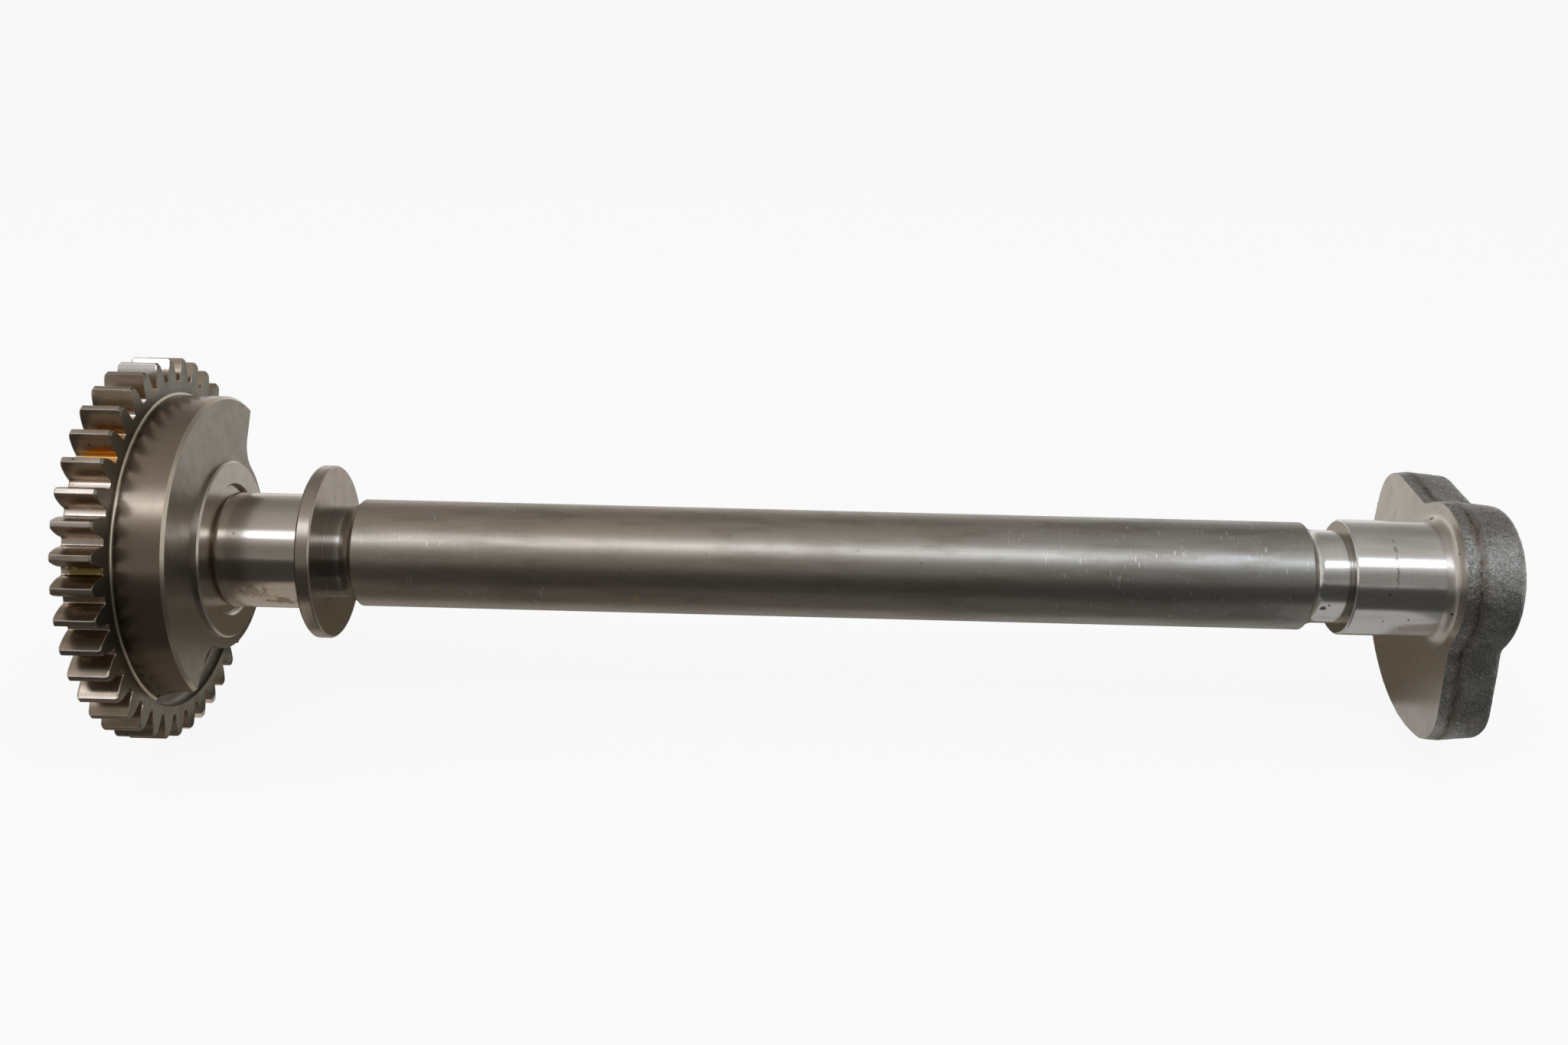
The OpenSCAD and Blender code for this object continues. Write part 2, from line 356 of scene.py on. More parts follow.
@dataclass(frozen=True)
class GearSizes:
    """Driving sizes of the spur gear, in millimetres and degrees."""

    module: float = 2.5
    teeth: int = 40
    pressure: float = 20.0
    addendum: float = 1.2
    dedendum: float = 1.44
    left: float = -37.8
    width: float = 10.7
    tip_chamfer: float = 0.6
    root_round: float = 0.55
    root_steps: int = 4
    tip_round: float = 0.25
    tip_start: float = 30.0
    tip_steps: int = 2
    end_round: float = 0.18
    flank_steps: int = 9
    flank_crowding: float = 1.3

    @property
    def pitch_r(self) -> float:
        """Pitch radius."""
        return self.module * self.teeth / 2

    @property
    def base_r(self) -> float:
        """Radius of the involute's base circle."""
        return self.pitch_r * math.cos(math.radians(self.pressure))

    @property
    def tip_r(self) -> float:
        """Radius over the teeth."""
        return self.pitch_r + self.addendum * self.module

    @property
    def root_r(self) -> float:
        """Radius between the teeth."""
        return self.pitch_r - self.dedendum * self.module

    @property
    def right(self) -> float:
        """Station of the gear's right face."""
        return self.left + self.width

    @property
    def half_turn(self) -> float:
        """Angle from the middle of a gap to the middle of a tooth, in radians."""
        return math.pi / self.teeth

    def half_tooth(self, radius: float) -> float:
        """Half of the angle that a tooth fills.

        Args:
            radius: Radius at which the tooth is measured, from the base circle out.

        Returns:
            The angle in radians.
        """
        swept = math.acos(min(1.0, self.base_r / radius))
        tilt = math.radians(self.pressure)
        return math.pi / 2 / self.teeth + math.tan(tilt) - tilt - (math.tan(swept) - swept)

    def half_pitch(self) -> list[Point]:
        """Outlines half a gap and half a tooth.

        Returns:
            Points (angle in radians, radius) from the middle of the gap to the middle of the tooth.
        """
        wall = self.half_tooth(self.base_r)
        points = [(self.half_turn, self.root_r), ((self.half_turn + wall) / 2, self.root_r)]
        for across, up in arc((0.0, 0.0), self.root_round, 0.0, 90.0, self.root_steps):
            angle = wall + (self.root_round - up) / self.root_r
            points.append((angle, self.root_r + self.root_round - across))
        top = self.tip_r - self.tip_round
        for i in range(1, self.flank_steps + 1):
            radius = self.base_r + (top - self.base_r) * (i / self.flank_steps) ** self.flank_crowding
            if radius > self.root_r + self.root_round:
                points.append((self.half_tooth(radius), radius))
        land = self.half_tooth(top)
        for across, up in arc((0.0, 0.0), self.tip_round, self.tip_start, 90.0, self.tip_steps):
            points.append((land - (self.tip_round - across) / self.tip_r, top + up))
        points.append((0.0, self.tip_r))
        return points


@dataclass
class GearEnd(Counterweight):
    """Gear, front counterweight and thrust boss, in millimetres and degrees."""

    phase: float = FRONT_PHASE
    flank_angle: float = 81.0
    flank_apex: float = 3.2
    gear: GearSizes = GearSizes()
    centre: LatheCentre = LatheCentre()
    recess_depth: float = 1.2
    recess_inner_r: float = 19.0
    recess_rim: float = 5.4
    web_r: float = 45.3
    tooth_floor_r: float = 44.7
    weight_step: float = 3.7
    pocket_rim: float = 2.2
    pocket_depth: float = 3.0
    pocket_fillet: float = 2.5
    weight_w: float = 13.25
    weight_chamfer: float = 0.8
    weight_fillet: float = 0.8
    hub_r: float = 27.7
    hub_fillet: float = 7.5
    boss_r: float = 24.75
    boss_h: float = 1.35
    edge_break: float = 0.5
    relief_r: float = 18.0
    relief_depth: float = 1.2
    journal_root_r: float = JOURNAL_ROOT_R
    mill_reach: float = 70.0
    overcut: float = 1.0
    core_end: float = 12.0
    rim_depth: float = 0.6
    rim_tilt: float = 0.4
    # Width of the fillet by the gear that takes the painted highlight
    highlight_fillet: float = 0.44
    merge: float = 0.02
    shaded_angle: float = 38.0
    steps: int = 240
    fillet_steps: int = 6
    pocket_steps: int = 8
    scoop_steps: int = 28
    hub_steps: int = 40
    hub_fillet_steps: int = 16

    @property
    def weight_r(self) -> float:
        """Outside radius of the weight."""
        return self.gear.root_r - self.weight_step

    @property
    def pocket_r(self) -> float:
        """Radius of the pocket beside the weight."""
        return self.gear.root_r - self.pocket_rim

    @property
    def weight_x(self) -> float:
        """Station of the weight's face."""
        return self.gear.right + self.weight_w

    @property
    def boss_x(self) -> float:
        """Station of the boss's face."""
        return self.weight_x + self.boss_h

    @property
    def pocket_x(self) -> float:
        """Station of the pocket's floor."""
        return self.gear.right - self.pocket_depth

    def blank(self) -> Piece:
        """Turns the web, the full disc of the weight and the boss.

        Returns:
            The turned blank, still without teeth and flanks.
        """
        g = self.gear
        floor = g.left + self.recess_depth
        outer = g.root_r - self.recess_rim
        fillet = (g.right + self.weight_fillet, self.weight_r + self.weight_fillet)
        relief = self.boss_x - self.relief_depth
        profile = self.centre.profile(g.left, 1.0)
        profile += [(g.left, self.recess_inner_r), (floor, self.recess_inner_r), (floor, outer)]
        profile += [(g.left, outer), (g.left, self.web_r), (g.right, self.web_r)]
        profile += arc(fillet, self.weight_fillet, 180, 270, self.fillet_steps)
        profile += [(self.weight_x - self.weight_chamfer, self.weight_r)]
        profile += [(self.weight_x, self.weight_r - self.weight_chamfer), (self.weight_x, self.boss_r)]
        profile += [(self.boss_x - self.edge_break, self.boss_r)]
        profile += [(self.boss_x, self.boss_r - self.edge_break)]
        profile += [(self.boss_x, self.relief_r + self.edge_break)]
        profile += [(self.boss_x - self.edge_break, self.relief_r), (relief, self.relief_r)]
        profile += [(relief, self.journal_root_r), (relief, 0.0)]
        return Bench.lathe("gear_end", profile, self.steps)

    def toothed_ring(self) -> Piece:
        """Models one tooth with its half gaps and turns copies of it into a ring.

        Returns:
            The ring, with a floor that lies inside the web.
        """
        g = self.gear
        side = [(g.half_turn, self.tooth_floor_r / math.cos(g.half_turn)), *g.half_pitch()]
        outline = [(-a, r) for a, r in side] + [(a, r) for a, r in reversed(side[:-1])]
        points = [Vector((g.left, r * math.sin(a), r * math.cos(a))) for a, r in outline]
        ring = Bench.draw("toothed_ring", points, closed=True)
        for length in (g.tip_chamfer, g.width - 2 * g.tip_chamfer, g.tip_chamfer):
            Bench.extrude(Vector((length, 0, 0)))
        self.chamfer_tips(ring)
        self.break_ends(ring)
        self.drop_side_walls(ring)
        bpy.ops.mesh.select_all(action="SELECT")
        copies = g.teeth - 1
        turn = 2 * math.pi * copies / g.teeth
        bpy.ops.mesh.spin(steps=copies, dupli=True, angle=turn, center=(0, 0, 0), axis=(1, 0, 0))
        Bench.close()
        Bench.edit(ring)
        bpy.ops.transform.rotate(value=g.half_turn, orient_axis="X", center_override=(0, 0, 0))
        bpy.ops.object.mode_set(mode="OBJECT")
        return ring

    def at_end(self, place: Vector, inner_r: float) -> bool:
        """Tells whether a vertex lies in one of the gear's two faces.

        Args:
            place: Place of the vertex, in metres.
            inner_r: Radius in millimetres outside which it has to lie.

        Returns:
            True for a vertex in a face and outside the radius.
        """
        x = place.x / MM
        on_face = min(abs(x - self.gear.left), abs(x - self.gear.right)) < SLACK
        return on_face and math.hypot(place.y, place.z) / MM > inner_r

    def chamfer_tips(self, ring: Piece) -> None:
        """Draws the tooth's tip in at both ends.

        Args:
            ring: The one tooth that the ring starts from.
        """
        g = self.gear
        drawn = (g.tip_r - g.tip_chamfer) / g.tip_r
        Bench.pick(ring, "VERT", lambda v: self.at_end(v.co, g.tip_r - g.tip_round - SLACK))
        bpy.ops.transform.resize(value=(1, drawn, drawn), center_override=(0, 0, 0))

    def break_ends(self, ring: Piece) -> None:
        """Rounds the tooth's outline a little at both ends.

        Args:
            ring: The one tooth that the ring starts from.
        """
        corners = ring.data.vertices
        inner_r = self.gear.root_r - SLACK
        Bench.pick(ring, "EDGE", lambda e: all(self.at_end(corners[i].co, inner_r) for i in e.vertices))
        bpy.ops.mesh.bevel(offset=self.gear.end_round * MM, segments=2, affect="EDGES", clamp_overlap=True)

    def drop_side_walls(self, ring: Piece) -> None:
        """Deletes the two faces where the next teeth follow, so that the turned ring is one skin.

        Args:
            ring: The one tooth that the ring starts from.
        """
        half, near = self.gear.half_turn, 0.0005
        Bench.pick(ring, "FACE", lambda f: abs(abs(math.atan2(f.center.y, f.center.z)) - half) < near)
        bpy.ops.mesh.delete(type="FACE")
        bpy.ops.mesh.select_mode(type="VERT")

    def mill(self) -> Piece:
        """Shapes what the cutter takes away beyond both flanks.

        Returns:
            The volume to cut, with the scooped flanks, the pocket's round and the hub left out.
        """
        top = self.weight_x + 2 * self.overcut
        corner = (self.pocket_x + self.pocket_fillet, self.pocket_r - self.pocket_fillet)
        profile = [(self.pocket_x, 0.0)]
        profile += arc(corner, self.pocket_fillet, 180, 90, self.pocket_steps)
        profile += [(top, self.pocket_r), (top, 0.0)]
        waste = Bench.lathe("pocket_waste", profile, self.steps)
        sweep = self.scoop(1.0)
        Bench.combine(sweep, self.scoop(-1.0), "UNION")
        Bench.combine(waste, sweep, "INTERSECT")
        Bench.combine(waste, self.hub_core(), "DIFFERENCE")
        return waste

    def scoop(self, side: float) -> Piece:
        """Shapes the cutter's sweep along one flank, past the pocket on all other sides.

        Args:
            side: 1 for the one flank and -1 for the other.

        Returns:
            A long prism with the scoop's round along the flank.
        """
        reach = self.mill_reach
        depth = self.weight_x - self.pocket_x
        top = self.weight_x + 3 * self.overcut
        under = self.pocket_x - self.overcut
        section = arc((depth, self.pocket_x + depth), depth, 180, 270, self.scoop_steps)
        section += [(depth, under), (reach, under), (reach, top), (0.0, top)]
        outline = []
        for beyond, x in section:
            u, v = self.flank(-reach, beyond)
            outline.append(self.plan(u, side * v, x))
        prism = Bench.draw("scooped_flank", outline, closed=True)
        (u0, v0), (u1, v1) = self.flank(-reach, 0.0), self.flank(reach, 0.0)
        Bench.extrude(self.plan(u1, side * v1, 0.0) - self.plan(u0, side * v0, 0.0))
        Bench.close()
        return prism

    def hub_core(self) -> Piece:
        """Shapes the block of the hub with the rounds that lead from it into both flanks.

        Returns:
            A block that passes the pocket's floor and the weight's face.
        """
        gap = self.flank_apex * math.sin(math.radians(self.flank_angle))
        across = gap + self.hub_fillet
        reach = self.hub_r + self.hub_fillet
        along = math.sqrt(reach * reach - across * across)
        shift = self.flank_apex * math.cos(math.radians(self.flank_angle))
        centre = self.flank(along + shift, self.hub_fillet)
        inward = heading((-centre[0], -centre[1]))
        foot = self.flank_angle - 90.0
        foot = foot if foot > inward else foot + 360.0
        half = arc((0.0, 0.0), self.hub_r, 180.0, heading(centre), self.hub_steps)
        half += arc(centre, self.hub_fillet, inward, foot, self.hub_fillet_steps)
        half.append((self.core_end, centre[1] - self.hub_fillet))
        outline = half + [(u, -v) for u, v in reversed(half[1:])]
        base = self.pocket_x - self.overcut
        core = Bench.draw("hub_core", [self.plan(u, v, base) for u, v in outline], closed=True)
        Bench.extrude(Vector((self.weight_x + 3 * self.overcut - base, 0, 0)))
        Bench.close()
        return core

    def build(self) -> Piece:
        """Mills both flanks out of the blank and joins the teeth to it.

        Returns:
            The gear end, not yet dressed.
        """
        piece = self.blank()
        Bench.combine(piece, self.mill(), "DIFFERENCE")
        Bench.combine(piece, self.toothed_ring(), "UNION")
        Bench.mend(piece, self.merge)
        Bench.even(piece, self.shaded_angle)
        return piece

    def zone(self, centre: Vector, normal: Vector) -> Zone:
        """Finds the zone of a face.

        Args:
            centre: Middle of the face in millimetres.
            normal: Normal of the face.

        Returns:
            The zone that the face belongs to.
        """
        g = self.gear
        radius = math.hypot(centre.y, centre.z)
        on_web = radius > self.pocket_r + SLACK or centre.x < g.left + self.recess_depth + SLACK
        if normal.x < -LEANING and radius < self.web_r:
            return Zone.WEIGHT_FACE
        if radius > g.root_r - SLACK:
            return Zone.GEAR_FACE if abs(normal.x) > LEANING else Zone.TOOTH
        if centre.x < g.right + SLACK and on_web:
            return Zone.GEAR_FACE
        if radius < self.boss_r + SLACK and centre.x > self.weight_x + SLACK:
            return Zone.GROUND_FACE
        if centre.x > self.weight_x - SLACK and normal.x > SQUARE:
            return Zone.WEIGHT_FACE
        if radius > self.weight_r - self.rim_depth and centre.x > g.right:
            # The fillet by the gear and the chamfer take the paler tone of a painted highlight
            turned = centre.x - g.right > self.highlight_fillet and normal.x < self.rim_tilt
            return Zone.WEIGHT_RIM if turned else Zone.BRIGHT_EDGE
        return Zone.MILLED

    def dress(self, piece: Piece) -> None:
        """Gives the zones their materials."""
        zones = [Zone.GEAR_FACE, Zone.TOOTH, Zone.GROUND_FACE, Zone.WEIGHT_FACE, Zone.WEIGHT_RIM,
                 Zone.BRIGHT_EDGE, Zone.MILLED]
        Bench.paint(piece, zones, self.zone)


@dataclass
class TurnedShaft:
    """Front journal, thrust flange, necks, long shaft and rear journal, in millimetres and degrees."""

    start: float = -14.4
    journal_r: float = 16.0
    journal_root_r: float = JOURNAL_ROOT_R
    undercut_end: float = -11.3
    undercut_slope: float = 0.3
    flange_left: float = 12.5
    flange_w: float = 4.0
    flange_r: float = 24.1
    edge_break: float = 0.5
    neck_r: float = 12.9
    neck_round: float = 5.0
    shaft_left: float = 24.1
    shaft_right: float = 284.9
    shaft_r: float = 14.9
    shaft_chamfer: float = 0.6
    rear_left: float = 295.1
    rear_face: float = REAR_FACE_X
    rear_round: float = 3.0
    rear_ring: float = 12.0
    root_depth: float = 2.0
    root_lip: float = 0.3
    edge_round: float = 0.12
    shaded_angle: float = 24.0
    steps: int = 256
    rings: int = 26
    neck_steps: int = 10
    corner_steps: int = 12

    @property
    def flange_right(self) -> float:
        """Station of the flange's right face."""
        return self.flange_left + self.flange_w

    def neck_arc(self, station: float, side: float) -> list[Point]:
        """Rounds a neck up to the shaft's chamfer.

        Args:
            station: Station of the shaft's end.
            side: 1 at the shaft's left end and -1 at its right end.

        Returns:
            Points (x along the shaft, radius) from the neck up.
        """
        rise = self.shaft_r - self.shaft_chamfer - self.neck_r
        run = math.sqrt(self.neck_round ** 2 - (self.neck_round - rise) ** 2)
        centre = (station - side * run, self.neck_r + self.neck_round)
        lift = math.degrees(math.acos((self.neck_round - rise) / self.neck_round))
        return arc(centre, self.neck_round, 270.0, 270.0 + side * lift, self.neck_steps)

    def profile(self) -> list[Point]:
        """Half section from the front journal's root to the rear weight.

        Returns:
            Points (x along the shaft, radius), with rings along the plain shaft.
        """
        c, e = self.shaft_chamfer, self.edge_break
        left, right = self.shaft_left + c, self.shaft_right - c
        corner = (self.rear_face - self.rear_round, self.journal_r + self.rear_round)
        foot = self.rear_face + self.root_depth
        points = [(self.start, 0.0), (self.start, self.journal_root_r)]
        points += [(self.undercut_end - self.undercut_slope, self.journal_root_r)]
        points += [(self.undercut_end, self.journal_r), (self.flange_left, self.journal_r)]
        points += [(self.flange_left, self.flange_r - e), (self.flange_left + e, self.flange_r)]
        points += [(self.flange_right - e, self.flange_r), (self.flange_right, self.flange_r - e)]
        points += [(self.flange_right, self.neck_r), *self.neck_arc(self.shaft_left, 1.0)]
        points += [(left + (right - left) * i / self.rings, self.shaft_r) for i in range(self.rings + 1)]
        points += [*reversed(self.neck_arc(self.shaft_right, -1.0)), (self.rear_left, self.neck_r)]
        points += [(self.rear_left, self.journal_r - e), (self.rear_left + e, self.journal_r)]
        points += [(corner[0] - self.rear_ring, self.journal_r)]
        points += arc(corner, self.rear_round, 270.0, 360.0, self.corner_steps)
        points += [(foot, corner[1] + self.root_lip), (foot, 0.0)]
        return points

    def build(self) -> Piece:
        """Turns the profile and rounds its edges.

        Returns:
            The shaft, not yet dressed.
        """
        piece = Bench.lathe("turned_shaft", self.profile(), self.steps)
        Bench.apply(piece, "BEVEL", width=self.edge_round * MM, segments=2, limit_method="ANGLE",
                    angle_limit=math.radians(self.shaded_angle), use_clamp_overlap=True,
                    miter_outer="MITER_ARC")
        Bench.even(piece, self.shaded_angle)
        return piece

    def zone(self, centre: Vector, normal: Vector) -> Zone:
        """Finds the zone of a face by its place along the shaft.

        Args:
            centre: Middle of the face in millimetres.
            normal: Normal of the face.

        Returns:
            The zone that the face belongs to.
        """
        radius = math.hypot(centre.y, centre.z)
        if centre.x < self.flange_left - SLACK:
            return Zone.JOURNAL
        if centre.x < self.flange_right + SLACK and radius > self.neck_r + self.edge_break:
            return Zone.FLANGE
        if centre.x < self.shaft_left + SLACK:
            return Zone.NECK
        if centre.x < self.shaft_right - SLACK:
            return Zone.SHAFT
        if centre.x < self.rear_left - SLACK:
            return Zone.NECK
        if centre.x < self.rear_left + SLACK and normal.x < -SQUARE:
            return Zone.FLANGE
        on_journal = centre.x < self.rear_face - self.rear_round + SLACK
        return Zone.JOURNAL if on_journal else Zone.REAR_FACE

    def dress(self, piece: Piece) -> None:
        """Gives the zones their materials."""
        Bench.paint(piece, [Zone.JOURNAL, Zone.FLANGE, Zone.NECK, Zone.SHAFT, Zone.REAR_FACE], self.zone)


@dataclass
class RearWeight(Counterweight):
    """Forged counterweight, faced off on the side of the journal, in millimetres and degrees."""

    phase: float = FRONT_PHASE + 180.0
    flank_angle: float = 49.5
    centre: LatheCentre = LatheCentre()
    face: float = REAR_FACE_X
    parting: float = PARTING_X
    back: float = 337.6
    end: float = 338.7
    rim_r: float = 46.0
    hub_r: float = 22.0
    flank_gap: float = 16.5
    ear_r: float = 12.0
    hub_fillet: float = 4.5
    draft: float = 5.5
    back_round: float = 2.8
    round_steps: int = 6
    rim_steps: int = 40
    ear_steps: int = 16
    fillet_steps: int = 10
    hub_steps: int = 24
    hub_round_steps: int = 8
    hub_turn_steps: int = 160
    centre_steps: int = 64
    facing: float = 1.5
    overcut: float = 2.0
    flare: float = 1.2
    grain: float = 0.5
    wave_size: float = 9.0
    waviness: float = 0.18
    pit_size: float = 1.3
    pitting: float = 0.2
    sunken: float = 0.85
    shaded_angle: float = 50.0

    @property
    def slope(self) -> float:
        """Lean of the drafted walls, across by along."""
        return math.tan(math.radians(self.draft))

    def outline(self) -> list[Point]:
        """Draws the weight in its parting plane.

        Returns:
            Points (u, v) of the plan, once round.
        """
        rise = self.flank_gap - self.ear_r
        ear = self.flank(math.sqrt((self.rim_r - self.ear_r) ** 2 - rise ** 2), rise)
        across = self.flank_gap + self.hub_fillet
        reach = self.hub_r + self.hub_fillet
        corner = self.flank(math.sqrt(reach ** 2 - across ** 2), across)
        square = self.flank_angle + 90.0
        turned = heading(corner)
        half = arc((0.0, 0.0), self.rim_r, 0.0, heading(ear), self.rim_steps)
        half += arc(ear, self.ear_r, heading(ear), square, self.ear_steps)[1:]
        half += arc(corner, self.hub_fillet, square - 180.0, turned - 180.0, self.fillet_steps)
        half += arc((0.0, 0.0), self.hub_r, turned, 180.0, self.hub_steps)[1:]
        return half + [(u, -v) for u, v in reversed(half[1:-1])]

    @staticmethod
    def raise_face(inward: float, upward: float) -> None:
        """Insets the selected face and lifts it, both in millimetres."""
        bpy.ops.mesh.inset(thickness=inward * MM, depth=upward * MM, use_even_offset=True)

    def draw_in(self, rise: float) -> None:
        """Raises the selected face by a drafted wall and rounds its edge.

        Args:
            rise: Height of the wall with its round.
        """
        wall = rise - self.back_round
        self.raise_face(wall * self.slope, wall)
        turns = [math.radians(90.0 * i / self.round_steps) for i in range(self.round_steps + 1)]
        for a, b in zip(turns, turns[1:]):
            self.raise_face(self.back_round * (math.cos(a) - math.cos(b)),
                            self.back_round * (math.sin(b) - math.sin(a)))

    def sector(self) -> Piece:
        """Forges the weight's plan to both sides of the parting plane.

        Returns:
            The weight without its hub, in object mode.
        """
        outline = [self.plan(u, v, self.parting) for u, v in self.outline()]
        piece = Bench.draw("rear_weight", outline, closed=True)
        Bench.extrude(Vector((0, 0, 0)))
        self.pick_end(piece, 1.0)
        self.draw_in(self.back - self.parting)
        self.pick_end(piece, -1.0)
        depth = self.parting - self.face + self.facing
        self.raise_face(depth * self.slope, depth)
        bpy.ops.object.mode_set(mode="OBJECT")
        return piece

    def pick_end(self, piece: Piece, side: float) -> None:
        """Selects the large end face.

        Args:
            piece: The piece to work on.
            side: 1 for the face that looks along x and -1 for the one that looks against it.
        """
        bpy.ops.object.mode_set(mode="OBJECT")
        faces = [f for f in piece.data.polygons if f.normal.x * side > SQUARE]
        last = max(faces, key=lambda f: f.center.x * side).index
        Bench.pick(piece, "FACE", lambda f: f.index == last)

    def hub(self) -> Piece:
        """Turns the hub that stands proud of the weight's back.

        Returns:
            The hub, drafted to both sides of the parting plane.
        """
        wall_end = self.end - self.back_round
        round_r = self.hub_r - (wall_end - self.parting) * self.slope - self.back_round
        start = self.face - self.facing
        start_r = self.hub_r - (self.parting - start) * self.slope
        profile = [(start, 0.0), (start, start_r), (self.parting, self.hub_r)]
        profile += arc((wall_end, round_r), self.back_round, 90.0, 0.0, self.hub_round_steps)
        profile += [(self.end, 0.0)]
        return Bench.lathe("forged_hub", profile, self.hub_turn_steps)

    def centre_tool(self) -> Piece:
        """Shapes the lathe centre that is cut into the hub's end.

        Returns:
            The volume to cut, which widens past the end.
        """
        past = self.end + self.overcut
        profile = self.centre.profile(self.end, -1.0)
        profile += [(past, self.centre.mouth_r + self.flare), (past, 0.0)]
        return Bench.lathe("centre_tool", profile, self.centre_steps)

    def build(self) -> Piece:
        """Joins weight and hub into one skin, roughens it, then faces and centres it.

        Returns:
            The forged weight, not yet dressed.
        """
        piece = self.sector()
        Bench.combine(piece, self.hub(), "UNION")
        Bench.apply(piece, "REMESH", mode="VOXEL", voxel_size=self.grain * MM, use_smooth_shade=True)
        Bench.apply(piece, "SMOOTH", factor=0.5, iterations=3)
        self.roughen(piece, "forge_waves", self.wave_size, self.waviness)
        self.roughen(piece, "forge_pits", self.pit_size, self.pitting)
        Bench.edit(piece)
        plane = (self.face * MM, 0, 0)
        bpy.ops.mesh.bisect(plane_co=plane, plane_no=(1, 0, 0), use_fill=True, clear_inner=True)
        Bench.close()
        Bench.combine(piece, self.centre_tool(), "DIFFERENCE")
        Bench.shade(piece, self.shaded_angle)
        return piece

    def roughen(self, piece: Piece, name: str, size: float, depth: float) -> None:
        """Presses a cloudy relief into the skin.

        Args:
            piece: The piece to roughen.
            name: Name of the relief.
            size: Size of its clouds in millimetres.
            depth: Height between its lowest and highest places in millimetres.
        """
        clouds = bpy.data.textures.new(name, "CLOUDS")
        clouds.noise_scale = size * MM
        clouds.noise_depth = 2
        Bench.apply(piece, "DISPLACE", texture=clouds, texture_coords="LOCAL", strength=depth * MM,
                    mid_level=self.sunken)

    def zone(self, centre: Vector, normal: Vector) -> Zone:
        """Tells the faced side and the lathe centre from the forged skin.

        Args:
            centre: Middle of the face in millimetres.
            normal: Normal of the face.

        Returns:
            The zone that the face belongs to.
        """
        faced = centre.x < self.face + SLACK and normal.x < -SQUARE
        radius = math.hypot(centre.y, centre.z)
        in_centre = radius < self.centre.mouth_r and centre.x < self.end - 2 * SLACK
        return Zone.REAR_FACE if faced or in_centre else Zone.FORGED

    def dress(self, piece: Piece) -> None:
        """Gives the faced and the forged side their materials."""
        Bench.paint(piece, [Zone.REAR_FACE, Zone.FORGED], self.zone)


class Wiring:
    """Node tree that is put together step by step."""

    def __init__(self, tree: bpy.types.NodeTree) -> None:
        """Starts on a tree that is there already."""
        self.tree = tree

    def feed(self, socket: Socket, value: object) -> None:
        """Links a socket, or sets its value.

        Args:
            socket: The input to feed.
            value: An output to link, or a fixed value.
        """
        if isinstance(value, bpy.types.NodeSocket):
            self.tree.links.new(value, socket)
        else:
            socket.default_value = value

    def node(self, kind: str, inputs: dict[str | int, object], **settings: object) -> bpy.types.Node:
        """Adds a node and feeds its inputs.

        Args:
            kind: Type of the node, without ShaderNode in front.
            inputs: An output or a fixed value for each input, by its name or number.
            **settings: Choices of the node itself.

        Returns:
            The new node.
        """
        node = self.tree.nodes.new("ShaderNode" + kind)
        for key, value in settings.items():
            setattr(node, key, value)
        for key, value in inputs.items():
            self.feed(node.inputs[key], value)
        return node

    def math(self, operation: str, first: object, second: object = 0.0) -> Socket:
        """One step of arithmetic on two values."""
        return self.node("Math", {0: first, 1: second}, operation=operation).outputs["Value"]

    def remap(self, value: Socket, low: float, high: float, out_low: float = 0.0,
              out_high: float = 1.0) -> Socket:
        """Clamped straight-line map from low..high to out_low..out_high."""
        inputs = {"Value": value, "From Min": low, "From Max": high, "To Min": out_low, "To Max": out_high}
        return self.node("MapRange", inputs).outputs["Result"]

    def mix(self, share: object, first: object, second: object) -> Socket:
        """Mixes two colours.

        Args:
            share: How much of the second colour is seen, an output or a fixed value.
            first: The one colour, an output or a fixed colour.
            second: The other colour, an output or a fixed colour.

        Returns:
            The mixed colour.
        """
        first, second = ((*c, 1.0) if isinstance(c, tuple) else c for c in (first, second))
        inputs = {"Factor": share, "A": first, "B": second}
        return self.node("Mix", inputs, data_type="RGBA").outputs["Result"]


@dataclass(frozen=True)
class Spot:
    """One mark: a stain of the worn steel, or on the teeth a painted highlight or reflection; its place and
    half sizes in millimetres, tone, share and frayed edge.
    """

    place: Triple
    size: Triple
    tone: Triple
    share: float = 0.8
    fray: float = 0.5

    @classmethod
    def on_round(cls, x: float, radius: float, turn: float, size: Triple, tone: Triple,
                 share: float = 0.8, fray: float = 0.5) -> Self:
        """Places a mark, a stain or a painted highlight, on a cylinder.

        Args:
            x: Station along the shaft.
            radius: Radius of the cylinder.
            turn: Angle in degrees from the top towards the front.
            size: Half sizes along x, y and z.
            tone: Colour of the mark.
            share: How much of the steel's tone it hides.
            fray: How ragged its edge is.

        Returns:
            The stain.
        """
        angle = math.radians(turn)
        return cls((x, -radius * math.sin(angle), radius * math.cos(angle)), size, tone, share, fray)


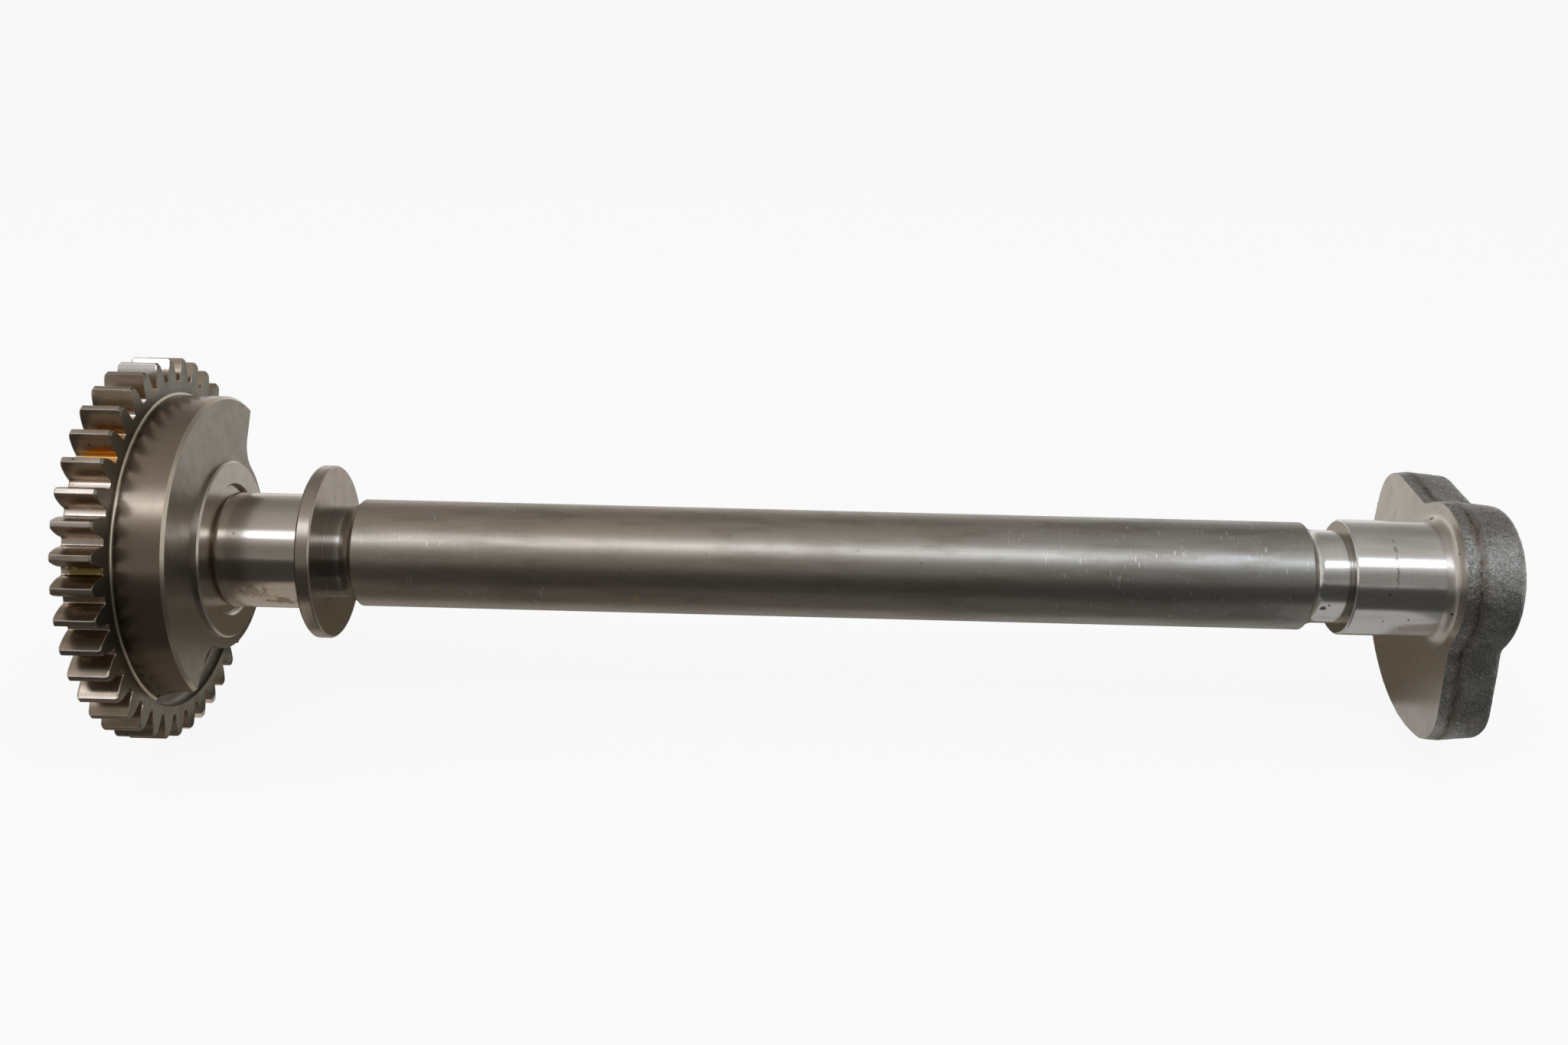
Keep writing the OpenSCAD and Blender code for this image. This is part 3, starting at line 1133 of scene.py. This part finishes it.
class Recipe(Wiring):
    """Material of one steel finish, its patterns on Object coordinates."""

    def __init__(self, zone: Zone) -> None:
        """Starts a plain steel material.

        Args:
            zone: Zone that the material belongs to.
        """
        material = bpy.data.materials.new(zone.value)
        material.use_nodes = True
        super().__init__(material.node_tree)
        self.shader = self.tree.nodes["Principled BSDF"]
        self.shader.inputs["Metallic"].default_value = 1.0
        self.coordinates = self.node("TexCoord", {}).outputs["Object"]

    def stretch(self, scale: Triple, turn: Triple = (0, 0, 0)) -> Socket:
        """Stretches the coordinates along the axes.

        Args:
            scale: Repeats per millimetre along x, y and z.
            turn: Rotation of the pattern in degrees.

        Returns:
            The vector for a texture.
        """
        inputs = {"Vector": self.coordinates, "Scale": [s / MM for s in scale],
                  "Rotation": [math.radians(t) for t in turn]}
        return self.node("Mapping", inputs).outputs["Vector"]

    def noise(self, scale: Triple, detail: float = 3.0, rough: float = 0.5, warp: float = 0.0) -> Socket:
        """Cloudy pattern between 0 and 1, with these repeats per millimetre."""
        inputs = {"Vector": self.stretch(scale), "Scale": 1.0, "Detail": detail, "Roughness": rough,
                  "Distortion": warp}
        return self.node("TexNoise", inputs).outputs["Fac"]

    def cells(self, scale: Triple, turn: Triple = (0, 0, 0)) -> Socket:
        """Distance from the nearest of many scattered points, with these repeats per millimetre."""
        inputs = {"Vector": self.stretch(scale, turn), "Scale": 1.0}
        return self.node("TexVoronoi", inputs).outputs["Distance"]

    def along(self) -> Socket:
        """Station along the shaft in metres."""
        return self.node("SeparateXYZ", {"Vector": self.coordinates}).outputs["X"]

    def vector(self, operation: str, first: Socket, second: Sequence[float] = (0, 0, 0)) -> bpy.types.Node:
        """One step of arithmetic on a vector and a fixed one."""
        return self.node("VectorMath", {0: first, 1: second}, operation=operation)

    def radius(self) -> Socket:
        """Distance from the shaft's axis in metres."""
        across = self.vector("MULTIPLY", self.coordinates, (0, 1, 1)).outputs["Vector"]
        return self.vector("LENGTH", across).outputs["Value"]

    def spot(self, spot: Spot) -> Socket:
        """Masks a frayed mark, a stain or a painted highlight.

        Args:
            spot: The mark.

        Returns:
            Its share in the middle, 0 beyond its edge.
        """
        offset = self.vector("SUBTRACT", self.coordinates, [c * MM for c in spot.place]).outputs["Vector"]
        scaled = self.vector("DIVIDE", offset, [s * MM for s in spot.size]).outputs["Vector"]
        away = self.vector("LENGTH", scaled).outputs["Value"]
        ragged = self.noise((0.7, 0.7, 0.7), detail=4.0, rough=0.65)
        fray = self.remap(ragged, 0.3, 0.7, -spot.fray, spot.fray)
        return self.remap(self.math("ADD", away, fray), 0.65, 1.0, spot.share, 0.0)

    def band(self, start: float, end: float, fade: float, wander: float = 0.0) -> Socket:
        """Masks a stretch of the shaft.

        Args:
            start: First station in millimetres.
            end: Last station in millimetres.
            fade: Length of its soft ends in millimetres.
            wander: How far its edge strays in millimetres.

        Returns:
            1 in the stretch and 0 beyond its soft ends.
        """
        x = self.along()
        if wander > 0.0:
            stray = self.noise((0.18, 0.18, 0.18), detail=5.0, rough=0.7)
            x = self.math("ADD", x, self.remap(stray, 0.2, 0.8, -wander * MM, wander * MM))
        rise = self.remap(x, (start - fade) * MM, start * MM)
        fall = self.remap(x, end * MM, (end + fade) * MM, 1.0, 0.0)
        return self.math("MULTIPLY", rise, fall)

    def bump(self, height: Socket, depth: float, under: Socket | None = None) -> Socket:
        """Makes a relief from a pattern.

        Args:
            height: The pattern.
            depth: Depth of the relief in millimetres.
            under: A relief that this one lies on.

        Returns:
            The normal for the shader.
        """
        inputs = {"Strength": 1.0, "Distance": depth * MM, "Height": height}
        if under is not None:
            inputs["Normal"] = under
        return self.node("Bump", inputs).outputs["Normal"]

    def finish(self, colour: Socket, roughness: Socket, normal: Socket) -> None:
        """Links colour, roughness and relief to the steel."""
        for name, socket in (("Base Color", colour), ("Roughness", roughness), ("Normal", normal)):
            self.feed(self.shader.inputs[name], socket)


@dataclass(frozen=True)
class SteelFinish:
    """Machined steel: a tone that may change along its span, tool marks, stains and scratches, and spots that
    on the teeth are painted highlights and reflections.
    """

    zone: Zone
    tone: Triple
    stain_tone: Triple
    stain: float
    roughness: float
    spread: float
    marks: float
    right_tone: Triple | None = None
    span: Point = (-38.0, 339.0)
    scratches: float = 0.0
    specks: float = 0.0
    spots: tuple[Spot, ...] = ()

    def make(self) -> None:
        """Builds the material for its zone."""
        r = Recipe(self.zone)
        share = r.remap(r.along(), self.span[0] * MM, self.span[1] * MM)
        tone = self.tint(r, r.mix(share, self.tone, self.right_tone or self.tone))
        clouds = r.noise((0.05, 0.22, 0.22), detail=5.0, rough=0.6, warp=0.4)
        stain = r.math("MULTIPLY", r.remap(clouds, 0.46, 0.66), self.stain)
        tone = r.mix(stain, tone, self.stain_tone)
        rings = r.noise((6.0, 0.02, 0.02), detail=4.0, rough=0.7)
        streaks = r.noise((0.02, 1.6, 1.6), detail=4.0, rough=0.6)
        wear = r.math("ADD", r.math("MULTIPLY", rings, 0.6), r.math("MULTIPLY", streaks, 0.4))
        tone = r.mix(r.remap(wear, 0.35, 0.65, 0.0, 0.3), tone, self.stain_tone)
        patchy = r.math("ADD", r.math("MULTIPLY", wear, 0.5), r.math("MULTIPLY", clouds, 0.5))
        rough = r.remap(patchy, 0.35, 0.65, self.roughness - self.spread, self.roughness + self.spread)
        if self.scratches > 0.0:
            tone = self.scratch(r, tone)
        if self.specks > 0.0:
            dots = r.remap(r.cells((0.16, 0.16, 0.16)), 0.05, 0.075, 1.0, 0.0)
            tone = r.mix(r.math("MULTIPLY", dots, self.specks), tone, SPECK)
        # Stains, and on the teeth painted highlights and reflections
        for spot in self.spots:
            tone = r.mix(r.spot(spot), tone, spot.tone)
        r.finish(tone, rough, r.bump(rings, self.marks))

    def tint(self, r: Recipe, tone: Socket) -> Socket:
        """Leaves the tone as it is."""
        return tone

    def scratch(self, r: Recipe, tone: Socket) -> Socket:
        """Adds short pale scratches, a few at the shaft's left end and many at its right end.

        Args:
            r: Recipe of the material.
            tone: Tone so far.

        Returns:
            The scratched tone.
        """
        few = r.math("MULTIPLY", r.band(32.0, 72.0, 10.0), r.remap(r.noise((0.07, 0.07, 0.07)), 0.5, 0.58))
        many = r.math("MULTIPLY", r.band(226.0, 283.0, 40.0), r.remap(r.noise((0.1, 0.14, 0.14)), 0.43, 0.52))
        fading = r.remap(r.noise((0.4, 0.5, 0.5)), 0.4, 0.56, 0.2, self.scratches)
        worn = r.math("MULTIPLY", r.math("MAXIMUM", few, many), fading)
        for turn, scale in ((-24.0, 0.85), (6.0, 1.1), (35.0, 0.95), (12.0, 2.4), (-40.0, 2.0)):
            points = r.cells((scale, scale * 0.13, scale * 0.13), (0.0, turn, 0.0))
            dashes = r.remap(points, 0.06, 0.13, 1.0, 0.0)
            tone = r.mix(r.math("MULTIPLY", dashes, worn), tone, SCRATCH)
        return tone


@dataclass(frozen=True)
class RimFinish(SteelFinish):
    """Turned rim with dark mottles from the heat beside the gear."""

    heat_tone: Triple = (0.07, 0.05, 0.035)
    heat_start: float = -27.0
    heat_end: float = -23.2

    def tint(self, r: Recipe, tone: Socket) -> Socket:
        """Mottles the side of the gear.

        Args:
            r: Recipe of the material.
            tone: Tone so far.

        Returns:
            The mottled tone.
        """
        near = r.remap(r.along(), self.heat_start * MM, self.heat_end * MM, 0.28, -0.25)
        mottle = r.math("ADD", r.noise((0.25, 0.3, 0.3), detail=5.0, rough=0.6), near)
        return r.mix(r.remap(mottle, 0.5, 0.72, 0.0, 0.85), tone, self.heat_tone)


@dataclass(frozen=True)
class ToothFinish(SteelFinish):
    """Ground teeth: brown flanks, with a painted highlight on the pale lands, painted reflections of white in
    the pale roots and painted amber reflections in some of them.
    """

    # Tones of painted light: amber reflections and pale reflections of white in the roots, and the highlight
    # on the lands
    amber_reflection: Triple = (0.50, 0.27, 0.08)
    root: Triple = (0.71, 0.61, 0.525)
    land: Triple = (0.56, 0.485, 0.425)
    root_r: float = GearSizes().root_r
    root_height: float = 3.2
    land_start_r: float = 52.3
    land_end_r: float = 52.7

    def tint(self, r: Recipe, tone: Socket) -> Socket:
        """Paints reflections into the roots, pale and here and there amber, and a highlight onto the lands.

        Args:
            r: Recipe of the material.
            tone: Tone so far.

        Returns:
            The tinted tone.
        """
        radius = r.radius()
        # Painted reflection of white: the roots turn pale
        low = r.remap(radius, self.root_r * MM, (self.root_r + self.root_height) * MM, 1.0, 0.0)
        tone = r.mix(low, tone, self.root)
        # Painted amber reflections in some of the roots
        amber_reflection_mask = r.remap(r.noise((0.05, 0.09, 0.09), detail=3.0), 0.54, 0.66, 0.0, 0.7)
        tone = r.mix(r.math("MULTIPLY", low, amber_reflection_mask), tone, self.amber_reflection)
        # Painted highlight: the lands turn pale
        high = r.remap(radius, self.land_start_r * MM, self.land_end_r * MM, 0.0, 0.8)
        return r.mix(high, tone, self.land)


BROWN = (0.16, 0.10, 0.055)
BLACK = (0.015, 0.013, 0.01)
SPECK = (0.02, 0.016, 0.012)
SCRATCH = (0.85, 0.83, 0.8)
RUST = (0.30, 0.13, 0.07)
# Tone of painted reflections of white in the tooth roots
REFLECTED_WHITE = (0.97, 0.92, 0.88)

SHAFT_SPOTS = (
    Spot.on_round(101.8, 14.9, 108.0, (0.9, 0.8, 0.8), (0.60, 0.36, 0.10), 0.9, 0.3),
)
JOURNAL_SPOTS = (
    Spot.on_round(-2.0, 16.0, 110.0, (5.0, 3.0, 2.2), BROWN, 0.5, 0.9),
    Spot.on_round(4.5, 16.0, 124.0, (4.5, 2.5, 1.6), BROWN, 0.7, 0.8),
    Spot.on_round(305.9, 16.0, 45.0, (0.45, 8.0, 8.0), BROWN, 0.5, 0.9),
    Spot.on_round(310.6, 16.0, 108.4, (0.35, 0.35, 0.35), BLACK, 0.9, 0.2),
    Spot.on_round(309.6, 16.0, 122.3, (0.35, 0.35, 0.35), BLACK, 0.9, 0.2),
)
NECK_SPOTS = (
    Spot.on_round(288.3, 12.9, 106.5, (1.0, 1.0, 1.0), BLACK, 0.9, 0.4),
    Spot.on_round(289.7, 12.9, 101.4, (0.35, 0.35, 0.35), BLACK, 0.9, 0.2),
)
# Painted light on the teeth: amber reflections and reflections of white in the roots, and highlights on the
# top lands
TOOTH_PAINTED_LIGHT = (
    Spot.on_round(-31.0, 47.0, 35.0, (6.5, 3.2, 3.2), (0.66, 0.36, 0.08), 0.9, 0.4),
    Spot.on_round(-31.5, 47.0, 26.0, (5.0, 2.6, 2.6), (0.50, 0.30, 0.09), 0.6, 0.5),
    Spot.on_round(-31.0, 47.0, 72.0, (6.5, 2.8, 2.8), (0.20, 0.13, 0.02), 0.92, 0.4),
    Spot.on_round(-31.5, 47.0, 81.0, (5.5, 2.4, 2.4), (0.24, 0.17, 0.04), 0.6, 0.5),
    Spot.on_round(-28.3, 46.4, 8.2, (2.4, 1.1, 0.9), REFLECTED_WHITE, 0.9, 0.2),
    Spot.on_round(-28.3, 46.4, 17.0, (2.4, 1.1, 0.9), REFLECTED_WHITE, 0.9, 0.2),
    Spot.on_round(-32.0, 52.2, -3.2, (9.0, 2.2, 2.4), (0.77, 0.71, 0.67), 0.85, 0.3),
    Spot.on_round(-32.0, 51.9, -12.2, (9.0, 2.4, 2.9), (0.90, 0.82, 0.75), 0.85, 0.3),
)
REAR_FACE_SPOTS = (
    Spot((320.8, 6.5, 15.4), (0.9, 1.4, 0.9), BLACK, 0.9, 0.4),
    Spot((321.1, -16.8, -2.1), (0.45, 0.45, 0.45), BLACK, 0.9, 0.2),
)
FORGED_SPOTS = (
    Spot((333.2, 0.9, 21.2), (1.5, 1.3, 1.2), RUST, 0.6, 0.7),
    Spot((331.2, 0.8, 21.4), (0.9, 0.9, 1.0), RUST, 0.5, 0.7),
    Spot((325.5, 22.8, 17.3), (1.2, 2.8, 1.5), (0.04, 0.03, 0.025), 0.8, 0.7),
    Spot((325.3, 18.7, 17.1), (0.9, 1.2, 1.4), (0.08, 0.05, 0.035), 0.8, 0.6),
    Spot((334.8, 35.1, 16.7), (1.3, 1.1, 1.2), (0.03, 0.025, 0.02), 0.8, 0.5),
)


@dataclass(frozen=True)
class ForgedFinish:
    """Shot-blasted forging with bright specks and a dark, rusty parting line."""

    zone: Zone = Zone.FORGED
    skin: Triple = (0.33, 0.322, 0.305)
    dark: Triple = (0.17, 0.167, 0.155)
    spark: Triple = (0.86, 0.85, 0.83)
    rust: Triple = (0.17, 0.105, 0.07)
    seam: Triple = (0.05, 0.036, 0.028)
    parting: float = PARTING_X
    spots: tuple[Spot, ...] = FORGED_SPOTS

    def make(self) -> None:
        """Builds the material for its zone."""
        r = Recipe(self.zone)
        patches = r.noise((0.12, 0.12, 0.12), detail=4.0, rough=0.6)
        grain = r.noise((1.2, 1.2, 1.2), detail=4.0, rough=0.65)
        fine = r.noise((2.9, 2.9, 2.9), detail=2.0, rough=0.6)
        mottle = r.math("ADD", r.math("MULTIPLY", patches, 0.5), r.math("MULTIPLY", grain, 0.5))
        tone = r.mix(r.remap(mottle, 0.42, 0.58), self.dark, self.skin)
        tone = r.mix(r.remap(fine, 0.57, 0.68, 0.0, 0.65), tone, self.spark)
        beside = r.band(self.parting - 0.9, self.parting + 1.3, 0.9, 1.1)
        tone = r.mix(r.math("MULTIPLY", beside, r.remap(grain, 0.38, 0.6, 0.05, 0.65)), tone, self.rust)
        line = r.band(self.parting - 0.2, self.parting + 0.25, 0.45, 1.1)
        broken = r.remap(r.noise((0.6, 0.5, 0.5), detail=5.0, rough=0.7), 0.38, 0.6, 0.0, 0.75)
        tone = r.mix(r.math("MULTIPLY", line, broken), tone, self.seam)
        for spot in self.spots:
            tone = r.mix(r.spot(spot), tone, spot.tone)
        rough = r.remap(grain, 0.3, 0.7, 0.48, 0.3)
        r.finish(tone, rough, r.bump(fine, 0.07, r.bump(grain, 0.2)))


FINISHES = (
    SteelFinish(Zone.SHAFT, tone=(0.425, 0.365, 0.302), right_tone=(0.39, 0.388, 0.368),
                stain_tone=(0.25, 0.215, 0.175), stain=0.6, roughness=0.355, spread=0.035, marks=0.004,
                span=(90.0, 270.0), scratches=1.0, specks=0.3, spots=SHAFT_SPOTS),
    SteelFinish(Zone.JOURNAL, tone=(0.59, 0.535, 0.475), right_tone=(0.74, 0.735, 0.72),
                stain_tone=(0.42, 0.37, 0.32), stain=0.3, roughness=0.18, spread=0.04, marks=0.0012,
                span=(12.0, 300.0), specks=0.5, spots=JOURNAL_SPOTS),
    SteelFinish(Zone.NECK, tone=(0.32, 0.30, 0.272), right_tone=(0.76, 0.755, 0.735),
                stain_tone=(0.30, 0.27, 0.23), stain=0.3, roughness=0.19, spread=0.03, marks=0.0015,
                span=(24.0, 286.0), specks=0.6, spots=NECK_SPOTS),
    SteelFinish(Zone.FLANGE, tone=(0.42, 0.36, 0.305), stain_tone=(0.25, 0.21, 0.17), stain=0.4,
                roughness=0.26, spread=0.04, marks=0.003, specks=0.4),
    SteelFinish(Zone.GROUND_FACE, tone=(0.50, 0.455, 0.405), stain_tone=(0.36, 0.31, 0.26), stain=0.35,
                roughness=0.24, spread=0.04, marks=0.002),
    RimFinish(Zone.WEIGHT_RIM, tone=(0.305, 0.24, 0.185), stain_tone=(0.20, 0.155, 0.12), stain=0.25,
              roughness=0.25, spread=0.04, marks=0.004),
    SteelFinish(Zone.WEIGHT_FACE, tone=(0.33, 0.295, 0.255), stain_tone=(0.22, 0.19, 0.16), stain=0.4,
                roughness=0.34, spread=0.05, marks=0.003),
    SteelFinish(Zone.MILLED, tone=(0.19, 0.174, 0.142), stain_tone=(0.12, 0.105, 0.085), stain=0.6,
                roughness=0.36, spread=0.06, marks=0.005),
    # Painted highlight: the paler tone of the front weight's fillet and chamfer
    SteelFinish(Zone.BRIGHT_EDGE, tone=(0.52, 0.46, 0.37), stain_tone=(0.36, 0.31, 0.24), stain=0.3,
                roughness=0.24, spread=0.04, marks=0.002),
    SteelFinish(Zone.GEAR_FACE, tone=(0.225, 0.214, 0.18), stain_tone=(0.13, 0.118, 0.095), stain=0.6,
                roughness=0.34, spread=0.05, marks=0.004),
    # Teeth: painted highlights on the lands and painted reflections in the roots
    ToothFinish(Zone.TOOTH, tone=(0.46, 0.375, 0.29), stain_tone=(0.20, 0.14, 0.09), stain=0.6,
                roughness=0.28, spread=0.05, marks=0.003, specks=0.6, spots=TOOTH_PAINTED_LIGHT),
    SteelFinish(Zone.REAR_FACE, tone=(0.60, 0.56, 0.515), stain_tone=(0.46, 0.40, 0.335), stain=0.4,
                roughness=0.3, spread=0.05, marks=0.003, specks=0.7, spots=REAR_FACE_SPOTS),
    ForgedFinish(),
)


@dataclass(frozen=True)
class Card:
    """Evenly glowing card on the floor that only the steel's reflections see, a painted reflection of shaded
    floor and dark surroundings: its reach in x and y, light, lift and standing edge, in metres.
    """

    name: str
    reach_x: Point
    reach_y: Point
    colour: Triple
    lift: float = 0.002
    wall: float = 0.0

    def lay(self, level: float) -> None:
        """Lays the card on the floor, out of the camera's sight, for the steel to mirror.

        Args:
            level: Height of the floor.
        """
        (left, right), (near, far) = self.reach_x, self.reach_y
        Bench.clear()
        bpy.ops.mesh.primitive_plane_add(size=1, location=(0, 0, 0))
        card = bpy.context.object
        card.name = self.name
        Bench.edit(card)
        bpy.ops.transform.resize(value=(right - left, far - near, 1))
        bpy.ops.transform.translate(value=((left + right) / 2, (near + far) / 2, level + self.lift))
        if self.wall > 0.0:
            corners = card.data.vertices
            Bench.pick(card, "EDGE", lambda e: all(corners[i].co.y < near + MM for i in e.vertices))
            Bench.extrude(Vector((0, 0, self.wall / MM)))
        bpy.ops.object.mode_set(mode="OBJECT")
        card.data.materials.append(self.reflection_glow())
        card.visible_camera = False
        card.visible_diffuse = False
        card.visible_shadow = False

    def reflection_glow(self) -> bpy.types.Material:
        """Makes the glow of the painted reflection, a material that only glows.

        Returns:
            The material.
        """
        reflection_glow = bpy.data.materials.new(self.name + "_felt")
        reflection_glow.use_nodes = True
        inputs = reflection_glow.node_tree.nodes["Principled BSDF"].inputs
        inputs["Base Color"].default_value = (0.0, 0.0, 0.0, 1.0)
        inputs["Specular IOR Level"].default_value = 0.0
        inputs["Emission Color"].default_value = (*self.colour, 1.0)
        inputs["Emission Strength"].default_value = 1.0
        reflection_glow.cycles.emission_sampling = "NONE"
        return reflection_glow


@dataclass
class Studio:
    """Pale floor, soft light and the photograph's camera.

    Sizes are in metres, but for the camera's place and its sensor, which are in millimetres.
    """

    middle: float = 0.15
    floor_colour: Triple = (0.82, 0.82, 0.81)
    floor_roughness: float = 0.9
    floor_size: float = 40.0
    floor_glow: float = 0.9
    # Glowing cards, seen only in the steel's reflections: painted reflections of dark surroundings and of the
    # floor in the part's shade
    cards: tuple[Card, ...] = (
        Card("dark_card", (-0.65, 0.95), (-0.42, -0.07), (0.064, 0.061, 0.057), lift=0.004, wall=0.11),
        Card("front_card", (0.0, 0.298), (-0.085, -0.012), (0.17, 0.163, 0.155)),
        Card("middle_card", (0.0, 0.298), (-0.012, 0.03), (0.43, 0.415, 0.395)),
        Card("back_card", (-0.03, 0.335), (0.018, 0.12), (0.135, 0.113, 0.084), lift=0.001),
        Card("far_card", (-0.4, 0.7), (0.12, 0.7), (0.66, 0.645, 0.62)),
        Card("boss_card", (-0.024, 0.0), (-0.085, 0.03), (0.46, 0.42, 0.37)),
        Card("gear_card", (-0.15, -0.024), (-0.085, 0.12), (0.16, 0.145, 0.125)),
        Card("journal_card", (0.298, 0.34), (-0.085, 0.018), (0.46, 0.455, 0.445)),
        Card("hub_card", (0.34, 0.5), (-0.085, 0.12), (0.18, 0.178, 0.17)),
    )
    strip_angle: float = 34.0
    strip_distance: float = 0.85
    strip_size: Point = (1.5, 0.2)
    strip_power: float = 2.85
    strip_colour: Triple = (0.78, 0.87, 1.0)
    camera_place: Triple = (146.383, -366.173, 178.631)
    camera_right: Triple = (0.99962064, 0.02123923, 0.01753474)
    camera_down: Triple = (0.02474443, -0.41297794, -0.91040482)
    focal_pixels: float = 1905.9
    image_width: float = 2048.0
    sensor: float = 36.0
    near_clip: float = 0.01
    horizon: Point = (0.09, 0.17)
    ends: Point = (0.72, 0.95)
    pale: Triple = (0.965, 0.963, 0.958)
    warmth: Triple = (1.0, 0.965, 0.92)
    sky: tuple[Point, ...] = (
        (-180, 0.6), (-96, 0.88), (-86, 0.84), (-77, 0.68), (-62, 0.4), (-45, 0.3), (-25, 0.4), (0, 0.52),
        (20, 0.6), (48, 0.55), (56, 0.3), (66, 0.28), (80, 0.32), (86, 0.8), (96, 0.8))

    def camera(self) -> None:
        """Puts the camera where the photograph was taken from."""
        right, down = Vector(self.camera_right), Vector(self.camera_down)
        back = -right.cross(down)
        place = Vector(self.camera_place) * MM
        data = bpy.data.cameras.new("photo_camera")
        data.sensor_width = self.sensor
        data.lens = self.focal_pixels / self.image_width * self.sensor
        data.clip_start = self.near_clip
        camera = bpy.data.objects.new("photo_camera", data)
        bpy.context.scene.collection.objects.link(camera)
        camera.matrix_world = Matrix.Translation(place) @ Matrix((right, -down, back)).transposed().to_4x4()
        bpy.context.scene.camera = camera

    def floor(self, level: float) -> None:
        """Lays the pale floor under the part.

        Args:
            level: Height of the floor.
        """
        Bench.clear()
        bpy.ops.mesh.primitive_plane_add(size=self.floor_size, location=(self.middle, 0, level))
        floor = bpy.context.object
        floor.name = "studio_floor"
        floor.data.materials.append(self.paper())

    def paper(self) -> bpy.types.Material:
        """Makes a pale paper that the camera and the steel's mirrored rays see as white.

        Returns:
            The material.
        """
        paper = bpy.data.materials.new("studio_paper")
        paper.use_nodes = True
        wiring = Wiring(paper.node_tree)
        shader = wiring.tree.nodes["Principled BSDF"]
        shader.inputs["Base Color"].default_value = (*self.floor_colour, 1.0)
        shader.inputs["Roughness"].default_value = self.floor_roughness
        rays = wiring.node("LightPath", {}).outputs
        mirrored = wiring.math("ADD", rays["Is Glossy Ray"], rays["Is Transmission Ray"])
        seen = wiring.math("MINIMUM", wiring.math("ADD", rays["Is Camera Ray"], mirrored), 1.0)
        glow = wiring.math("MULTIPLY", seen, self.floor_glow)
        white = wiring.node("Emission", {}).outputs["Emission"]
        mixed = wiring.node("MixShader", {"Fac": glow, 1: shader.outputs["BSDF"], 2: white})
        wiring.feed(wiring.tree.nodes["Material Output"].inputs["Surface"], mixed.outputs["Shader"])
        return paper

    def strip_light(self) -> None:
        """Hangs a long soft light in front of the shaft and above it."""
        turn = math.radians(self.strip_angle)
        data = bpy.data.lights.new("strip_light", "AREA")
        data.shape = "RECTANGLE"
        data.size, data.size_y = self.strip_size
        data.energy = self.strip_power
        data.color = self.strip_colour
        lamp = bpy.data.objects.new("strip_light", data)
        away = Vector((0, -math.sin(turn), math.cos(turn)))
        lamp.location = Vector((self.middle, 0, 0)) + away * self.strip_distance
        lamp.rotation_euler = (turn, 0, 0)
        bpy.context.scene.collection.objects.link(lamp)

    def surroundings(self) -> None:
        """Paints the room in soft bands round the shaft's axis, pale at the horizon and beyond both ends."""
        world = bpy.data.worlds.new("studio_room")
        world.use_nodes = True
        wiring = Wiring(world.node_tree)
        looking = wiring.node("TexCoord", {}).outputs["Generated"]
        parts = wiring.node("SeparateXYZ", {"Vector": looking}).outputs
        angle = wiring.math("ARCTAN2", wiring.math("MULTIPLY", parts["Y"], -1.0), parts["Z"])
        bands = wiring.node("ValToRGB", {"Fac": wiring.remap(angle, -math.pi, math.pi)})
        self.paint_bands(bands.color_ramp.elements)
        low = wiring.remap(wiring.math("ABSOLUTE", parts["Z"]), *self.horizon, 1.0, 0.0)
        ends = wiring.remap(wiring.math("ABSOLUTE", parts["X"]), *self.ends)
        colour = wiring.mix(wiring.math("MAXIMUM", low, ends), bands.outputs["Color"], self.pale)
        background = wiring.tree.nodes["Background"]
        wiring.feed(background.inputs["Color"], colour)
        background.inputs["Strength"].default_value = 1.0
        bpy.context.scene.world = world

    def paint_bands(self, stops: bpy.types.ColorRampElements) -> None:
        """Sets the sky's levels, by their angle about the shaft's axis.

        Args:
            stops: Colour stops to set, once round from below.
        """
        while len(stops) > 1:
            stops.remove(stops[0])
        for i, (degrees, level) in enumerate(self.sky):
            at = (degrees + 180.0) / 360.0
            stop = stops[0] if i == 0 else stops.new(at)
            stop.position = at
            stop.color = (*(level * part for part in self.warmth), 1.0)

    def build(self, level: float) -> None:
        """Sets up camera, floor and light.

        Args:
            level: Height of the floor.
        """
        self.camera()
        self.floor(level)
        for card in self.cards:
            card.lay(level)
        self.strip_light()
        self.surroundings()
        bpy.context.scene.view_settings.view_transform = "Standard"


def main() -> None:
    """Builds and dresses the three stretches of the shaft, then the studio."""
    logging.basicConfig(level=logging.INFO)
    for finish in FINISHES:
        finish.make()
    for maker in (GearEnd(), TurnedShaft(), RearWeight()):
        piece = maker.build()
        maker.dress(piece)
        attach(piece, "root")
        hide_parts("balance_shaft")
        LOG.info("%s: %d faces", piece.name, len(piece.data.polygons))
    Studio().build(CAD_BOX[0].z)


if __name__ == "__main__":
    main()
